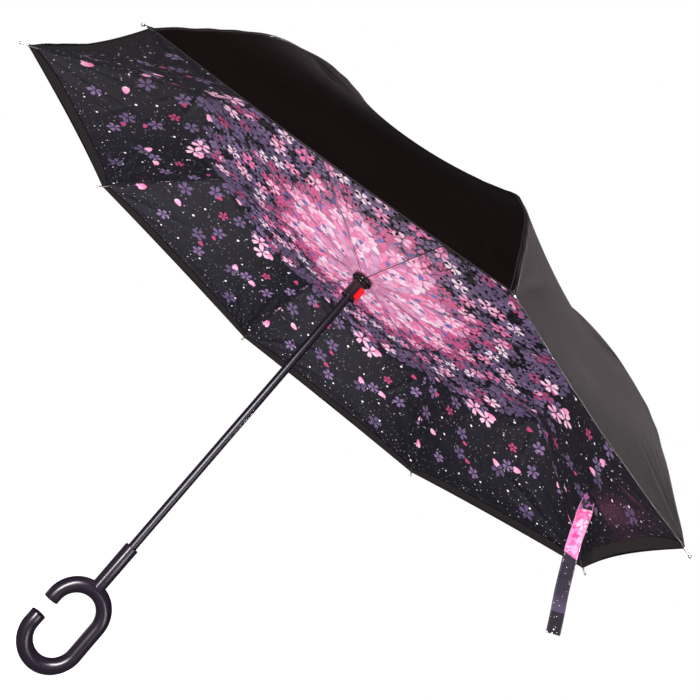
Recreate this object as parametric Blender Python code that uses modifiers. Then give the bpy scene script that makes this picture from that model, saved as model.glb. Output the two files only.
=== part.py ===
"""Inverted stick umbrella, open, with a double canopy and a C-shaped handle.

Metres, Z up, the shaft on the Z axis. The origin is the middle of the grip.
Heights of the frame are given above the rim plane, which RIM_Z places.
"""

import math

import bmesh
import bpy
import numpy as np
from mathutils import Matrix, Vector

# Canopy
RIM_Z = 0.5045  # the plane of the eight corners, above the grip's middle
TIP_R = 0.525
RIB_COUNT = 8
PANELS_PER_GORE = 4
CLOTH_T = 0.0008
CLOTH_RISE = 0.00088  # the same thickness, measured upwards on a slope
# The outer canopy's ridge over a rib, as shares of the tip radius: (radius, height).
RIDGE_SHARES = (
    (0.0108, 0.3955),
    (0.12, 0.392),
    (0.25, 0.386),
    (0.38, 0.377),
    (0.486, 0.362),
    (0.55, 0.345),
    (0.605, 0.325),
    (0.666, 0.297),
    (0.711, 0.270),
    (0.761, 0.240),
    (0.816, 0.198),
    (0.862, 0.153),
    (0.905, 0.108),
    (0.945, 0.064),
    (0.978, 0.028),
    (1.0, 0.0),
)
CROWN_Z = RIDGE_SHARES[0][1] * TIP_R
# How far a gore's middle dips inwards, as a share of its width, at these shares of the tip radius.
DIP_AT_SHARES = (0.0, 0.30, 0.55, 0.80, 0.92, 1.0)
DIP_SHARES = (0.0, 0.12, 0.080, 0.036, 0.028, 0.0215)
HEM_BACK = 0.0185  # from the corner's radius in to the edge of the turned-in hem

# Inner canopy: its hub and its knee, as shares of the tip radius
KNEE_SHARE = 0.6286
KNEE_RISE_SHARE = 0.217
HUB_RISE_SHARE = 0.1642
KNEE_R = KNEE_SHARE * TIP_R
KNEE_Z = KNEE_RISE_SHARE * TIP_R
INNER_HUB_Z = HUB_RISE_SHARE * TIP_R
INNER_HOLE_R = 0.0086
INNER_HUB_SHARES = (0.0, 0.129, 0.347, 0.564, 0.782, 1.0)
INNER_EDGE_BACK = 0.0166  # from the corner's radius in to the cloth's edge, which laps the hem
INNER_OUT_SHARES = (0.28, 0.55, 0.82, 0.972)  # of the way from the knee to the hem's edge
INNER_LIFT = 0.00145
INNER_LIFT_SHARES = (0.0, 0.0, 0.14, 0.93, 1.0)
INNER_DROP_SHARE = 0.04  # how far a gore's middle hangs below the knee, per width

# Rib linkage, in the rib's own plane: (radius, height above the rim plane)
LOWER_HINGE_R = 0.0145
LOWER_HINGE_RISE = 0.0068  # above the inner canopy's hub
UPPER_HINGE_R = 0.0130
UPPER_HINGE_DROP = 0.0196  # below the outer canopy's crown
EYE_BEFORE_KNEE = 0.0250
EYE_OVER_KNEE = 0.0056
EYE_LEAN = 0.0050  # the upper eye is this much nearer the shaft than the lower one
EYE_UNDER_RIDGE = 0.0110
LOWER_HINGE = (LOWER_HINGE_R, INNER_HUB_Z + LOWER_HINGE_RISE)
UPPER_HINGE = (UPPER_HINGE_R, CROWN_Z - UPPER_HINGE_DROP)
LOWER_EYE = (KNEE_R - EYE_BEFORE_KNEE, KNEE_Z + EYE_OVER_KNEE)
UPPER_EYE_R = LOWER_EYE[0] - EYE_LEAN
RIDGE_OVER_EYE = TIP_R * float(np.interp(UPPER_EYE_R / TIP_R, *zip(*RIDGE_SHARES)))
UPPER_EYE = (UPPER_EYE_R, RIDGE_OVER_EYE - EYE_UNDER_RIDGE)
ARM_HALF_H = 0.0018
ARM_EYE_R = 0.0026
ARM_WALL = 0.0005
ARM_ROOF = 0.0011
CHANNEL_INSET = 0.009
LANE_IN = 0.0016  # the arms run beside the rib, from this far off its plane
LANE_OUT = 0.0040  # to this far
WIRE_EYE_R = 0.00135
PIN_EYE_R = 0.00115
PIN_R = 0.00085
PIN_REACH = 0.0044
PIN_HEAD_R = 0.0017
PIN_HEAD_T = 0.0006
PIN_HEAD_GAP = 0.0004
EYE_SIDES = 12
ARC_STEPS = 8

# Knuckle, rib wire and rib rod
KNUCKLE_HALF_W = 0.0012
KNUCKLE_EYE_R = 0.0030
KNUCKLE_TOP_RISE = 0.0060
KNUCKLE_TOP_R = 0.0019
KNUCKLE_LOW_TURN = 80.0  # degrees of the lower end's round, to each side
KNUCKLE_TOP_TURN = 70.0
ROD_R = 0.0012
ROD_OFFSET = 0.0036  # the rod's centre, under the outer canopy's ridge
ROD_START_GAP = 0.0024  # beyond the upper eye
ROD_END_SHARE = 0.960
ROD_END_SLOPE = math.radians(45.0)
ROD_SIDES = 6
RIB_WIRE_R = 0.0009
RIB_WIRE_RISE = 0.0046  # the wire's centre above the inner canopy's line
KNEE_BEND_OUT = 0.0030
KNEE_BEND_UP = 0.0037

# Rib tip: a thin cap with a bead at its end, on the rib wire's end
CAP_BACK = 0.0115  # how far the cap reaches in from the corner
CAP_REACH = 0.0095  # how far it reaches out
CAP_FIT = 0.00035
CAP_WALL = 0.0003
CAP_FLOOR = 0.0028
BEAD_R = 0.0020
BEAD_H = 0.0040
BEAD_SHARES = ((0.0, 1.0), (0.75, 0.82), (1.0, 0.5), (0.75, 0.18))  # (outwards, before the end)
WIRE_END_GAP = 0.0045  # from the wire's end to the cap's end
WIRE_DROP_RUN = 0.0045  # the wire comes down to the cap in this length
HOLE_FIT = 0.0005
HOLE_BEFORE = 0.0050  # the hole's cutter starts before the cap
HOLE_BEYOND = 0.0105  # and ends beyond it
CAP_START_R = TIP_R - CAP_BACK
CAP_END_R = TIP_R + CAP_REACH
WIRE_END_R = CAP_END_R - WIRE_END_GAP
WIRE_DROP_R = CAP_START_R - WIRE_DROP_RUN
CAP_BORE_R = RIB_WIRE_R + CAP_FIT
CAP_R = CAP_BORE_R + CAP_WALL

# Shaft
SHAFT_R = 0.0059
SHAFT_BORE_R = 0.0050
SHAFT_TOP_DROP = 0.0014  # below the crown
FIT = 0.0003  # clearance of fixed parts
SLIDE_FIT = 0.00035  # clearance of sliding parts
RING_WIRE_R = 0.0006
RING_SIDES = 8
ROUND_STEPS = 32
SHAFT_TOP_Z = CROWN_Z - SHAFT_TOP_DROP

# Runner: heights are measured from the lower hinges
EDGE = 0.0006
RUNNER_FOOT_DROP = 0.0436
RUNNER_LIP_R = 0.0110
RUNNER_LIP_H = 0.0024
RUNNER_BODY_R = 0.0103
SHOULDER_DROP = 0.0188
SHOULDER_R = 0.0125
BELL_DROP = 0.0146
BELL_R = 0.0157
BELL_H = 0.0072
BELL_SHARES = ((0.69, 0.14), (1.0, 0.39), (1.0, 0.69), (0.72, 0.94), (0.03, 1.0))
CLOTH_NECK_R = 0.0080
HEAD_R = 0.0166
HEAD_HALF_H = 0.0038
GROOVE_HALF_H = 0.0011
GROOVE_DEPTH = 0.0029
SPOUT_WALL = 0.0008

# Top notch and cap: heights are measured from the upper hinges, and from the crown
NOTCH_FOOT_DROP = 0.0080
NOTCH_COLLAR_R = 0.0085
NOTCH_HEAD_R = 0.0151
NOTCH_NECK_R = 0.0094
NOTCH_TAPER_H = 0.0019
CAP_SEAT_GAP = 0.0004
STEM_LENGTH = 0.0120
TOP_CAP_R = 0.0132
TOP_CAP_H = 0.0044
TOP_CAP_SHARES = ((0.985, 0.0), (1.0, 0.16), (0.924, 0.43), (0.72, 0.70), (0.417, 0.91), (0.0, 1.0))

# Slots for the arms' ends
SLOT_SIDE = 0.0004
SLOT_BEHIND = 0.0005
SLOT_DOWN = 0.0048
SLOT_UP = 0.0060
SLOT_BEYOND = 0.0034

# Release button
BUTTON_AZIMUTH = math.radians(-45.0)
BUTTON_HALF_W = 0.0050
BUTTON_HALF_H = 0.00865
BUTTON_DROP = 0.03085  # from the lower hinges to the button's middle
BUTTON_ROOM = 0.0018
BUTTON_DEPTH = 0.0043
BUTTON_BEVEL = 0.0007
BUTTON_BORE_R = 0.0026
POCKET_WALL = 0.0008
POCKET_GAP = 0.0003
SPRING_R = 0.0018
SPRING_WIRE_R = 0.0003
SPRING_TURNS = 4
SPRING_STEPS = 10
SPRING_END_GAP = 0.00065
SPRING_LENGTH = 0.0031
POCKET_FLOOR_R = SHAFT_R + SLIDE_FIT + POCKET_WALL
BUTTON_IN_R = POCKET_FLOOR_R + BUTTON_ROOM
SPRING_IN_R = POCKET_FLOOR_R + SPRING_END_GAP
SPRING_OUT_R = SPRING_IN_R + SPRING_LENGTH

# Handle: a C loop round the grip's middle, its mouth towards -X
LOOP_R = 0.0335
LOOP_HALF_STRAIGHT = 0.0200
LOOP_FLARE = 0.0015
GRIP_R = 0.0101
GRIP_SIDES = 24
GRIP_ARC_STEPS = 14
GRIP_ROUND = 0.0010
MOUTH_TOP_Z = 0.0133
MOUTH_FOOT_Z = -0.0075
NECK_R = 0.0094
NECK_ROOT_R = 0.0092
NECK_LENGTH = 0.0680
NECK_ROUND = 0.0012
NECK_BORE_DEPTH = 0.0541
PIN_UNDER_TOP = 0.0200
HANDLE_PIN_R = 0.0012
HANDLE_PIN_INSET = 0.0006
NECK_FOOT_Z = LOOP_HALF_STRAIGHT + LOOP_R
NECK_TOP_Z = NECK_FOOT_Z + NECK_LENGTH
NECK_BORE_R = SHAFT_R + FIT
NECK_BORE_FLOOR_Z = NECK_TOP_Z - NECK_BORE_DEPTH
HANDLE_PIN_Z = NECK_TOP_Z - PIN_UNDER_TOP

# Strap: hangs from the inner canopy between the ribs at 0 and -45 degrees
STRAP_ROOT_SHARES = Vector((0.7305, -0.2817, 0.0729))  # of the tip radius, from the rim plane
STRAP_HANG = Vector((0.0815, 0.0224, -0.1591))
STRAP_ROOT_ACROSS = Vector((0.0114, -0.0148, -0.0098))
STRAP_FACING = Vector((-0.178, -0.957, -0.227))
STRAP_HALF_W = 0.0095
STRAP_T = 0.0016
STRAP_BOW = 0.0050
STRAP_STEPS = 14
STRAP_TWIST_SHARE = 0.16
CUTTER_REACH = 0.02
SMOOTH_BELOW = math.radians(40.0)

COLOURS = {
    "outer_canopy": (0.012, 0.009, 0.010),
    "inner_canopy": (0.045, 0.035, 0.075),
    "strap": (0.55, 0.16, 0.33),
    "shaft": (0.020, 0.019, 0.024),
    "handle": (0.040, 0.037, 0.048),
    "handle_pin": (0.30, 0.30, 0.31),
    "top_notch": (0.020, 0.020, 0.022),
    "notch_wire": (0.55, 0.55, 0.56),
    "top_cap": (0.015, 0.015, 0.017),
    "runner": (0.012, 0.011, 0.012),
    "runner_wire": (0.55, 0.55, 0.56),
    "release_button": (0.80, 0.01, 0.01),
    "button_spring": (0.60, 0.60, 0.62),
    "upper_arm": (0.035, 0.035, 0.040),
    "lower_arm": (0.035, 0.035, 0.040),
    "knuckle": (0.040, 0.040, 0.045),
    "rib_rod": (0.030, 0.030, 0.034),
    "rib_tip": (0.62, 0.60, 0.60),
}
METALS = (
    "handle_pin",
    "notch_wire",
    "runner_wire",
    "button_spring",
    "rib_tip",
    "knuckle",
    "upper_arm",
    "lower_arm",
    "shaft",
)


def clear_scene():
    for old in list(bpy.data.objects):
        bpy.data.objects.remove(old, do_unlink=True)


def collection(name, hidden=False):
    made = bpy.data.collections.new(name)
    bpy.context.scene.collection.children.link(made)
    made.hide_render = hidden
    return made


def material(name, kind):
    made = bpy.data.materials.new(name)
    made.use_nodes = True
    shader = made.node_tree.nodes["Principled BSDF"]
    shader.inputs["Base Color"].default_value = (*COLOURS[kind], 1.0)
    shader.inputs["Metallic"].default_value = 1.0 if kind in METALS else 0.0
    shader.inputs["Roughness"].default_value = 0.35
    return made


def add_node(name, mesh, kind=None, smooth=True):
    """A visible piece of the umbrella, in its own material."""
    made = bpy.data.objects.new(name, mesh)
    UMBRELLA.objects.link(made)
    made.data.materials.clear()
    made.data.materials.append(material(name + "_material", kind or name))
    if smooth:
        made.data.set_sharp_from_angle(angle=SMOOTH_BELOW)
    return made


def add_helper(name, mesh):
    made = bpy.data.objects.new(name, mesh)
    HELPERS.objects.link(made)
    made.hide_render = True
    made.display_type = "WIRE"
    return made


def boolean(obj, other, operation="DIFFERENCE"):
    modifier = obj.modifiers.new(other.name, "BOOLEAN")
    modifier.operation = operation
    modifier.solver = "EXACT"
    modifier.object = other
    return modifier


def baked(obj):
    """The evaluated mesh of an object, for shapes that eight pieces share."""
    bpy.context.view_layer.update()
    graph = bpy.context.evaluated_depsgraph_get()
    return bpy.data.meshes.new_from_object(obj.evaluated_get(graph))


def mesh_of(name, points, faces):
    work = bmesh.new()
    corners = [work.verts.new(p) for p in points]
    for face in faces:
        work.faces.new([corners[i] for i in face])
    bmesh.ops.recalc_face_normals(work, faces=work.faces)
    if work.calc_volume(signed=True) < 0:
        bmesh.ops.reverse_faces(work, faces=work.faces)
    mesh = bpy.data.meshes.new(name)
    work.to_mesh(mesh)
    work.free()
    for polygon in mesh.polygons:
        polygon.use_smooth = True
    return mesh


def joined(name, meshes):
    """Several closed meshes, apart from each other, as one mesh."""
    work = bmesh.new()
    for mesh in meshes:
        work.from_mesh(mesh)
    mesh = bpy.data.meshes.new(name)
    work.to_mesh(mesh)
    work.free()
    return mesh


def prism(name, outline, y0, y1):
    """An outline of (x, z) points, pushed out along Y."""
    n = len(outline)
    points = [(x, y0, z) for x, z in outline] + [(x, y1, z) for x, z in outline]
    sides = [(i, (i + 1) % n, n + (i + 1) % n, n + i) for i in range(n)]
    return mesh_of(name, points, [tuple(range(n)), tuple(range(n, 2 * n)), *sides])


def box(name, low, high):
    outline = ((low[0], low[2]), (high[0], low[2]), (high[0], high[2]), (low[0], high[2]))
    return prism(name, outline, low[1], high[1])


def swept(name, points, radii, sides, closed=False):
    """A round section carried along a line, without twist."""
    line = [Vector(p) for p in points]
    count = len(line)
    radii = [radii] * count if isinstance(radii, float) else radii
    before = [line[i - 1] if closed or i else line[i] for i in range(count)]
    after = [line[(i + 1) % count] if closed or i + 1 < count else line[i] for i in range(count)]
    tangents = [(b - a).normalized() for a, b in zip(before, after)]
    side = tangents[0].orthogonal().normalized()
    rings = []
    for i in range(count):
        if i:
            turn = tangents[i - 1].rotation_difference(tangents[i])
            side = turn @ side
        other = tangents[i].cross(side).normalized()
        for k in range(sides):
            angle = math.tau * k / sides
            rings.append(line[i] + radii[i] * (math.cos(angle) * side + math.sin(angle) * other))
    faces = []
    for i in range(count if closed else count - 1):
        j = (i + 1) % count
        for k in range(sides):
            m = (k + 1) % sides
            faces.append((i * sides + k, i * sides + m, j * sides + m, j * sides + k))
    if not closed:
        faces.append(tuple(range(sides)))
        faces.append(tuple(range((count - 1) * sides, count * sides)))
    return mesh_of(name, rings, faces)


def ring(name, radius, height):
    steps = range(ROUND_STEPS)
    turns = [math.tau * (i + 1 / 2) / ROUND_STEPS for i in steps]
    line = [(radius * math.cos(a), radius * math.sin(a), height) for a in turns]
    return circle_tube(name, line)


def circle_tube(name, line):
    """A closed wire round Z: each section stands in the plane through Z."""
    points = []
    for x, y, z in line:
        out = Vector((x, y, 0)).normalized()
        for k in range(RING_SIDES):
            angle = math.tau * k / RING_SIDES
            reach = out * math.cos(angle) + Vector((0, 0, 1)) * math.sin(angle)
            points.append(Vector((x, y, z)) + RING_WIRE_R * reach)
    faces = []
    for i in range(len(line)):
        j = (i + 1) % len(line)
        for k in range(RING_SIDES):
            m = (k + 1) % RING_SIDES
            faces.append(
                (i * RING_SIDES + k, i * RING_SIDES + m, j * RING_SIDES + m, j * RING_SIDES + k)
            )
    return mesh_of(name, points, faces)


def screwed(name, profile, kind=None, steps=ROUND_STEPS, closed=True):
    """A node made by turning a profile of (radius, height) points with a Screw modifier."""
    mesh = bpy.data.meshes.new(name)
    edges = [(i, i + 1) for i in range(len(profile) - 1)]
    if closed:
        edges.append((len(profile) - 1, 0))
    mesh.from_pydata([(r, 0, z) for r, z in profile], edges, [])
    made = add_node(name, mesh, kind, smooth=False)
    turn = made.modifiers.new("turn", "SCREW")
    turn.axis = "Z"
    turn.steps = turn.render_steps = steps
    turn.use_merge_vertices = True
    turn.merge_threshold = 0.00001
    turn.use_normal_calculate = True
    turn.use_smooth_shade = True
    return made


def arc(centre, radius, start, end, steps):
    """Points of (x, z) round a centre, from one angle in degrees to another."""
    angles = [math.radians(start + (end - start) * i / steps) for i in range(steps + 1)]
    return [(centre[0] + radius * math.cos(a), centre[1] + radius * math.sin(a)) for a in angles]


def circle(centre, radius):
    """A ring of EYE_SIDES points (x, z)."""
    step = 360 / EYE_SIDES
    return arc(centre, radius, 0, 360 - step, EYE_SIDES - 1)


def at_rim(z):
    return z + RIM_Z


def bar_outline(length, half_height, eye_r):
    """A straight bar along X with a round eye at each end."""
    blend = math.degrees(math.asin(half_height / eye_r))
    far = arc((length, 0), eye_r, -180 + blend, 180 - blend, ARC_STEPS)
    near = arc((0, 0), eye_r, blend, 360 - blend, ARC_STEPS)
    return near + far


def eye_cutter(name, x, z, radius):
    return prism(name, circle((x, z), radius), -CUTTER_REACH, CUTTER_REACH)


def arm_mesh(name, hinge, eye, side, channel_down):
    """A pressed channel with an eye at each end. Its own origin is the hinge."""
    along = Vector((eye[0] - hinge[0], 0, eye[1] - hinge[1]))
    length = along.length
    slope = math.atan2(along.z, along.x)
    y0, y1 = sorted((side * LANE_IN, side * LANE_OUT))
    blank = add_helper(name + "_blank", prism(name, bar_outline(length, ARM_HALF_H, ARM_EYE_R), y0, y1))
    low, high = -CUTTER_REACH, ARM_HALF_H - ARM_ROOF
    if not channel_down:
        low, high = ARM_ROOF - ARM_HALF_H, CUTTER_REACH
    cuts = (
        eye_cutter(name + "_wire_eye", 0, 0, WIRE_EYE_R),
        eye_cutter(name + "_pin_eye", length, 0, PIN_EYE_R),
        box(
            name + "_channel",
            (CHANNEL_INSET, y0 + ARM_WALL, low),
            (length - CHANNEL_INSET, y1 - ARM_WALL, high),
        ),
    )
    boolean(blank, add_helper(name + "_cuts", joined(name + "_cuts", cuts)))
    mesh = baked(blank)
    mesh.transform(Matrix.Rotation(-slope, 4, "Y"))
    return mesh


def unit(vector):
    return vector / np.linalg.norm(vector)


def gore_columns():
    """[(azimuth, u)] right round the canopy. u is -1 and 1 on the ribs, and 0 in a gore's middle."""
    half = math.pi / RIB_COUNT
    found = []
    for gore in range(RIB_COUNT):
        middle = half * (2 * gore + 1)
        for step in range(PANELS_PER_GORE):
            u = 2 * step / PANELS_PER_GORE - 1
            found.append((middle + math.atan(u * math.tan(half)), u))
    return found


def chord_share(u):
    """How much nearer the axis a chord between two ribs runs, at u."""
    half = math.pi / RIB_COUNT
    return math.cos(half) / math.cos(math.atan(u * math.tan(half)))


def gore_width(radius):
    """The chord between two ribs at a radius."""
    return 2 * radius * math.sin(math.pi / RIB_COUNT)


def inward_normals(line):
    """For a line that runs outwards from the centre, the unit normals of its under side."""
    run = np.gradient(line, axis=0)
    normals = np.stack([run[:, 1], -run[:, 0]], axis=1)
    return normals / np.linalg.norm(normals, axis=1)[:, None]


def outer_line(u):
    """The outer canopy's outer face at u, as (radius, height above the rim plane) points."""
    ridge = np.array(RIDGE_SHARES) * TIP_R
    dip = np.interp(ridge[:, 0] / TIP_R, DIP_AT_SHARES, DIP_SHARES)
    width = gore_width(ridge[:, 0])
    push = inward_normals(ridge)
    push[-1] = (-1, 0)
    bulge = (dip * width * (1 - u * u))[:, None] * push
    return ridge * [chord_share(u), 1] + bulge


def knee_to_rim_share(back):
    """The share of the way from the knee to the corner at which only this much radius is left."""
    return 1 - back / (TIP_R - KNEE_R)


def inner_line(u):
    """The inner canopy's under side at u, and its straight run from the knee to the rim."""
    share = np.array(INNER_HUB_SHARES)
    radii = INNER_HOLE_R + (KNEE_R - INNER_HOLE_R) * share
    drop = INNER_DROP_SHARE * gore_width(radii) * share * (1 - u * u)
    heights = INNER_HUB_Z + (KNEE_Z - INNER_HUB_Z) * share - drop
    near_hub = 1 - (1 - chord_share(u)) * share
    hub = np.stack([radii * near_hub, heights], axis=1)
    knee, rim = hub[-1], outer_line(u)[-1]
    to_hem = knee_to_rim_share(HEM_BACK) * np.array(INNER_OUT_SHARES)
    shares = np.append(to_hem, knee_to_rim_share(INNER_EDGE_BACK))
    out = knee + shares[:, None] * (rim - knee)
    out[:, 1] += INNER_LIFT * np.array(INNER_LIFT_SHARES)
    return np.concatenate([hub, out]), knee, rim


def canopy_mesh(name, sections):
    """A closed solid from one closed section of (radius, height) points per column."""
    count = len(sections[0][1])
    points, faces = [], []
    for azimuth, section in sections:
        c, s = math.cos(azimuth), math.sin(azimuth)
        points += [(r * c, r * s, at_rim(z)) for r, z in section]
    for i in range(len(sections)):
        j = (i + 1) % len(sections)
        for k in range(count):
            m = (k + 1) % count
            faces.append((i * count + k, i * count + m, j * count + m, j * count + k))
    return mesh_of(name, points, faces)


def outer_section(u):
    """The outer canopy's cloth at u: its outer face, the turned-in hem, and back along the inside."""
    face = outer_line(u)
    _, knee, rim = inner_line(u)
    hem_end = knee + knee_to_rim_share(HEM_BACK) * (rim - knee)
    hem_top = hem_end + [0, CLOTH_RISE]
    up_wall, up_hem = unit(face[-2] - rim), unit(knee - rim)
    between = math.acos(float(np.clip(up_wall @ up_hem, -1, 1)))
    fold = rim + unit(up_wall + up_hem) * CLOTH_T / math.sin(between / 2)
    inside = face[:-1] + inward_normals(face)[:-1] * CLOTH_T
    return [*face, hem_end, hem_top, fold, *inside[::-1]]


def inner_section(u):
    under, _, _ = inner_line(u)
    top = under + [0, CLOTH_RISE]
    return [*under, *top[::-1]]


def rib_line_z(r):
    """The inner canopy's straight line from the knee to the corner, over a rib."""
    return KNEE_Z * (TIP_R - r) / (TIP_R - KNEE_R)


def rod_points():
    """The rib rod's centreline under the outer canopy's ridge."""
    ridge = np.array(RIDGE_SHARES) * TIP_R
    line = ridge + inward_normals(ridge) * ROD_OFFSET
    start_r = UPPER_EYE_R + ROD_START_GAP
    keep = line[(line[:, 0] > start_r) & (ridge[:, 0] < ROD_END_SHARE * TIP_R)]
    start = (start_r, float(np.interp(start_r, line[:, 0], line[:, 1])))
    end_r = ROD_END_SHARE * TIP_R - ROD_OFFSET * math.cos(ROD_END_SLOPE)
    end = (end_r, float(np.interp(end_r, line[:-1, 0], line[:-1, 1])))
    return [start, *[tuple(p) for p in keep if p[0] < end_r], end]


def in_rib_plane(points, origin):
    return [(r - origin[0], 0, z - origin[1]) for r, z in points]


def knuckle_mesh():
    """The two-eyed connector with the rib wire. Its own origin is the upper eye, where it hinges."""
    low = Vector((LOWER_EYE[0] - UPPER_EYE[0], LOWER_EYE[1] - UPPER_EYE[1]))
    top = Vector((0, KNUCKLE_TOP_RISE))
    waist = KNUCKLE_EYE_R * math.sqrt(1 / 2)
    lean = math.degrees(math.atan2(low.y, low.x))
    low_turn = KNUCKLE_LOW_TURN
    outline = arc(low, KNUCKLE_EYE_R, lean - low_turn, lean + low_turn, ARC_STEPS)
    outline += [(KNUCKLE_EYE_R, 0), (top.x + KNUCKLE_TOP_R, top.y - waist)]
    outline += arc(top, KNUCKLE_TOP_R, 90 - KNUCKLE_TOP_TURN, 90 + KNUCKLE_TOP_TURN, ARC_STEPS // 2)
    outline += [(-KNUCKLE_EYE_R, 0)]
    plate = prism("knuckle_plate", outline, -KNUCKLE_HALF_W, KNUCKLE_HALF_W)
    blank = add_helper("knuckle_blank", plate)
    drop_z = rib_line_z(WIRE_DROP_R) + RIB_WIRE_RISE
    wire_line = [
        LOWER_EYE,
        (KNEE_R + KNEE_BEND_OUT, KNEE_Z + KNEE_BEND_UP),
        (WIRE_DROP_R, drop_z),
        (CAP_START_R, rib_line_z(CAP_START_R)),
        (WIRE_END_R, rib_line_z(WIRE_END_R)),
    ]
    wire = swept("rib_wire", in_rib_plane(wire_line, UPPER_EYE), RIB_WIRE_R, ROD_SIDES)
    eye_pin = prism("eye_pin", circle((0, 0), PIN_R), 0, PIN_REACH)
    head_y = LANE_OUT + PIN_HEAD_GAP
    head = prism("pin_head", circle((0, 0), PIN_HEAD_R), head_y, head_y + PIN_HEAD_T)
    boolean(blank, add_helper("rib_wire_part", wire), "UNION")
    boolean(blank, add_helper("eye_pin_part", eye_pin), "UNION")
    boolean(blank, add_helper("pin_head_part", head), "UNION")
    return baked(blank)


def tip_mesh():
    """The metal cap on the rib wire's end. Its own origin is the knuckle's hinge, like its body's."""
    start = Vector((CAP_START_R, 0, rib_line_z(CAP_START_R)))
    end = Vector((CAP_END_R, 0, rib_line_z(CAP_END_R)))
    length = (end - start).length
    rows = [(CAP_BORE_R, length - CAP_FLOOR), (CAP_BORE_R, 0), (CAP_R, 0)]
    rows += [(CAP_R + (BEAD_R - CAP_R) * out, length - BEAD_H * back) for out, back in BEAD_SHARES]
    count = len(rows)
    points = []
    for k in range(EYE_SIDES):
        angle = math.tau * k / EYE_SIDES
        points += [(r * math.cos(angle), r * math.sin(angle), z) for r, z in rows]
    points += [(0, 0, length - CAP_FLOOR), (0, 0, length)]
    floor, crown = len(points) - 2, len(points) - 1
    faces = []
    for k in range(EYE_SIDES):
        a, b = k * count, ((k + 1) % EYE_SIDES) * count
        faces += [(a + row, b + row, b + row + 1, a + row + 1) for row in range(count - 1)]
        faces += [(a, b, floor), (a + count - 1, b + count - 1, crown)]
    mesh = mesh_of("rib_tip", points, faces)
    aim = Vector((0, 0, 1)).rotation_difference(end - start).to_matrix().to_4x4()
    hinge = Vector((UPPER_EYE[0], 0, UPPER_EYE[1]))
    mesh.transform(Matrix.Translation(start - hinge) @ aim)
    return mesh


def place_round(name, mesh, hinge, number):
    """One of the eight like pieces, with its origin on its hinge."""
    azimuth = math.tau * number / RIB_COUNT
    made = add_node(f"{name}_{number + 1}", mesh.copy(), name)
    made.location = (hinge[0] * math.cos(azimuth), hinge[0] * math.sin(azimuth), at_rim(hinge[1]))
    made.rotation_euler.z = azimuth
    return made


def make_linkages():
    lower = arm_mesh("lower_arm", LOWER_HINGE, LOWER_EYE, -1, False)
    upper = arm_mesh("upper_arm", UPPER_HINGE, UPPER_EYE, 1, True)
    knuckle = knuckle_mesh()
    rod = swept("rib_rod", in_rib_plane(rod_points(), UPPER_EYE), ROD_R, ROD_SIDES)
    tip = tip_mesh()
    for number in range(RIB_COUNT):
        place_round("lower_arm", lower, LOWER_HINGE, number)
        place_round("upper_arm", upper, UPPER_HINGE, number)
        place_round("knuckle", knuckle, UPPER_EYE, number)
        place_round("rib_rod", rod, UPPER_EYE, number)
        place_round("rib_tip", tip, UPPER_EYE, number)


def make_canopies():
    columns = gore_columns()
    outer = add_node(
        "outer_canopy", canopy_mesh("outer_canopy", [(a, outer_section(u)) for a, u in columns])
    )
    hole_start = CAP_START_R - HOLE_BEFORE
    hole_length = CAP_END_R + HOLE_BEYOND - hole_start
    hole = prism("corner_hole", circle((0, 0), CAP_R + HOLE_FIT), 0, hole_length)
    slope = math.atan2(KNEE_Z, TIP_R - KNEE_R)
    start = (hole_start, 0, at_rim(rib_line_z(hole_start)))
    hole.transform(Matrix.Rotation(-math.pi / 2, 4, "Z"))
    hole.transform(Matrix.Translation(start) @ Matrix.Rotation(slope, 4, "Y"))
    holes = []
    for number in range(RIB_COUNT):
        copy = hole.copy()
        copy.transform(Matrix.Rotation(math.tau * number / RIB_COUNT, 4, "Z"))
        holes.append(copy)
    boolean(outer, add_helper("corner_holes", joined("corner_holes", holes)))
    add_node("inner_canopy", canopy_mesh("inner_canopy", [(a, inner_section(u)) for a, u in columns]))


def slot_cutter(name, hinge, head_r, side):
    slots = []
    inner_r = hinge[0] - ARM_EYE_R - SLOT_BEHIND
    y0, y1 = sorted((side * (LANE_IN - SLOT_SIDE), side * (LANE_OUT + SLOT_SIDE)))
    z0, z1 = at_rim(hinge[1] - SLOT_DOWN), at_rim(hinge[1] + SLOT_UP)
    for number in range(RIB_COUNT):
        slot = box(name, (inner_r, y0, z0), (head_r + SLOT_BEYOND, y1, z1))
        slot.transform(Matrix.Rotation(math.tau * number / RIB_COUNT, 4, "Z"))
        slots.append(slot)
    return add_helper(name, joined(name, slots))


def hinge_ring(name, hinge):
    """The wire that eight arms hinge on, through the middle of their lanes."""
    radius = math.hypot(hinge[0], (LANE_IN + LANE_OUT) / 2)
    add_node(name, ring(name, radius, at_rim(hinge[1])))


def grooved_head(radius, hinge_z):
    """The outline of a head that carries a hinge wire in a groove, from its under side to its top."""
    groove_r = radius - GROOVE_DEPTH
    low, high = hinge_z - GROOVE_HALF_H, hinge_z + GROOVE_HALF_H
    top = hinge_z + HEAD_HALF_H
    rows = [(radius, hinge_z - HEAD_HALF_H), (radius, low), (groove_r, low), (groove_r, high)]
    return [*rows, (radius, high), (radius, top - EDGE)]


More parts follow.
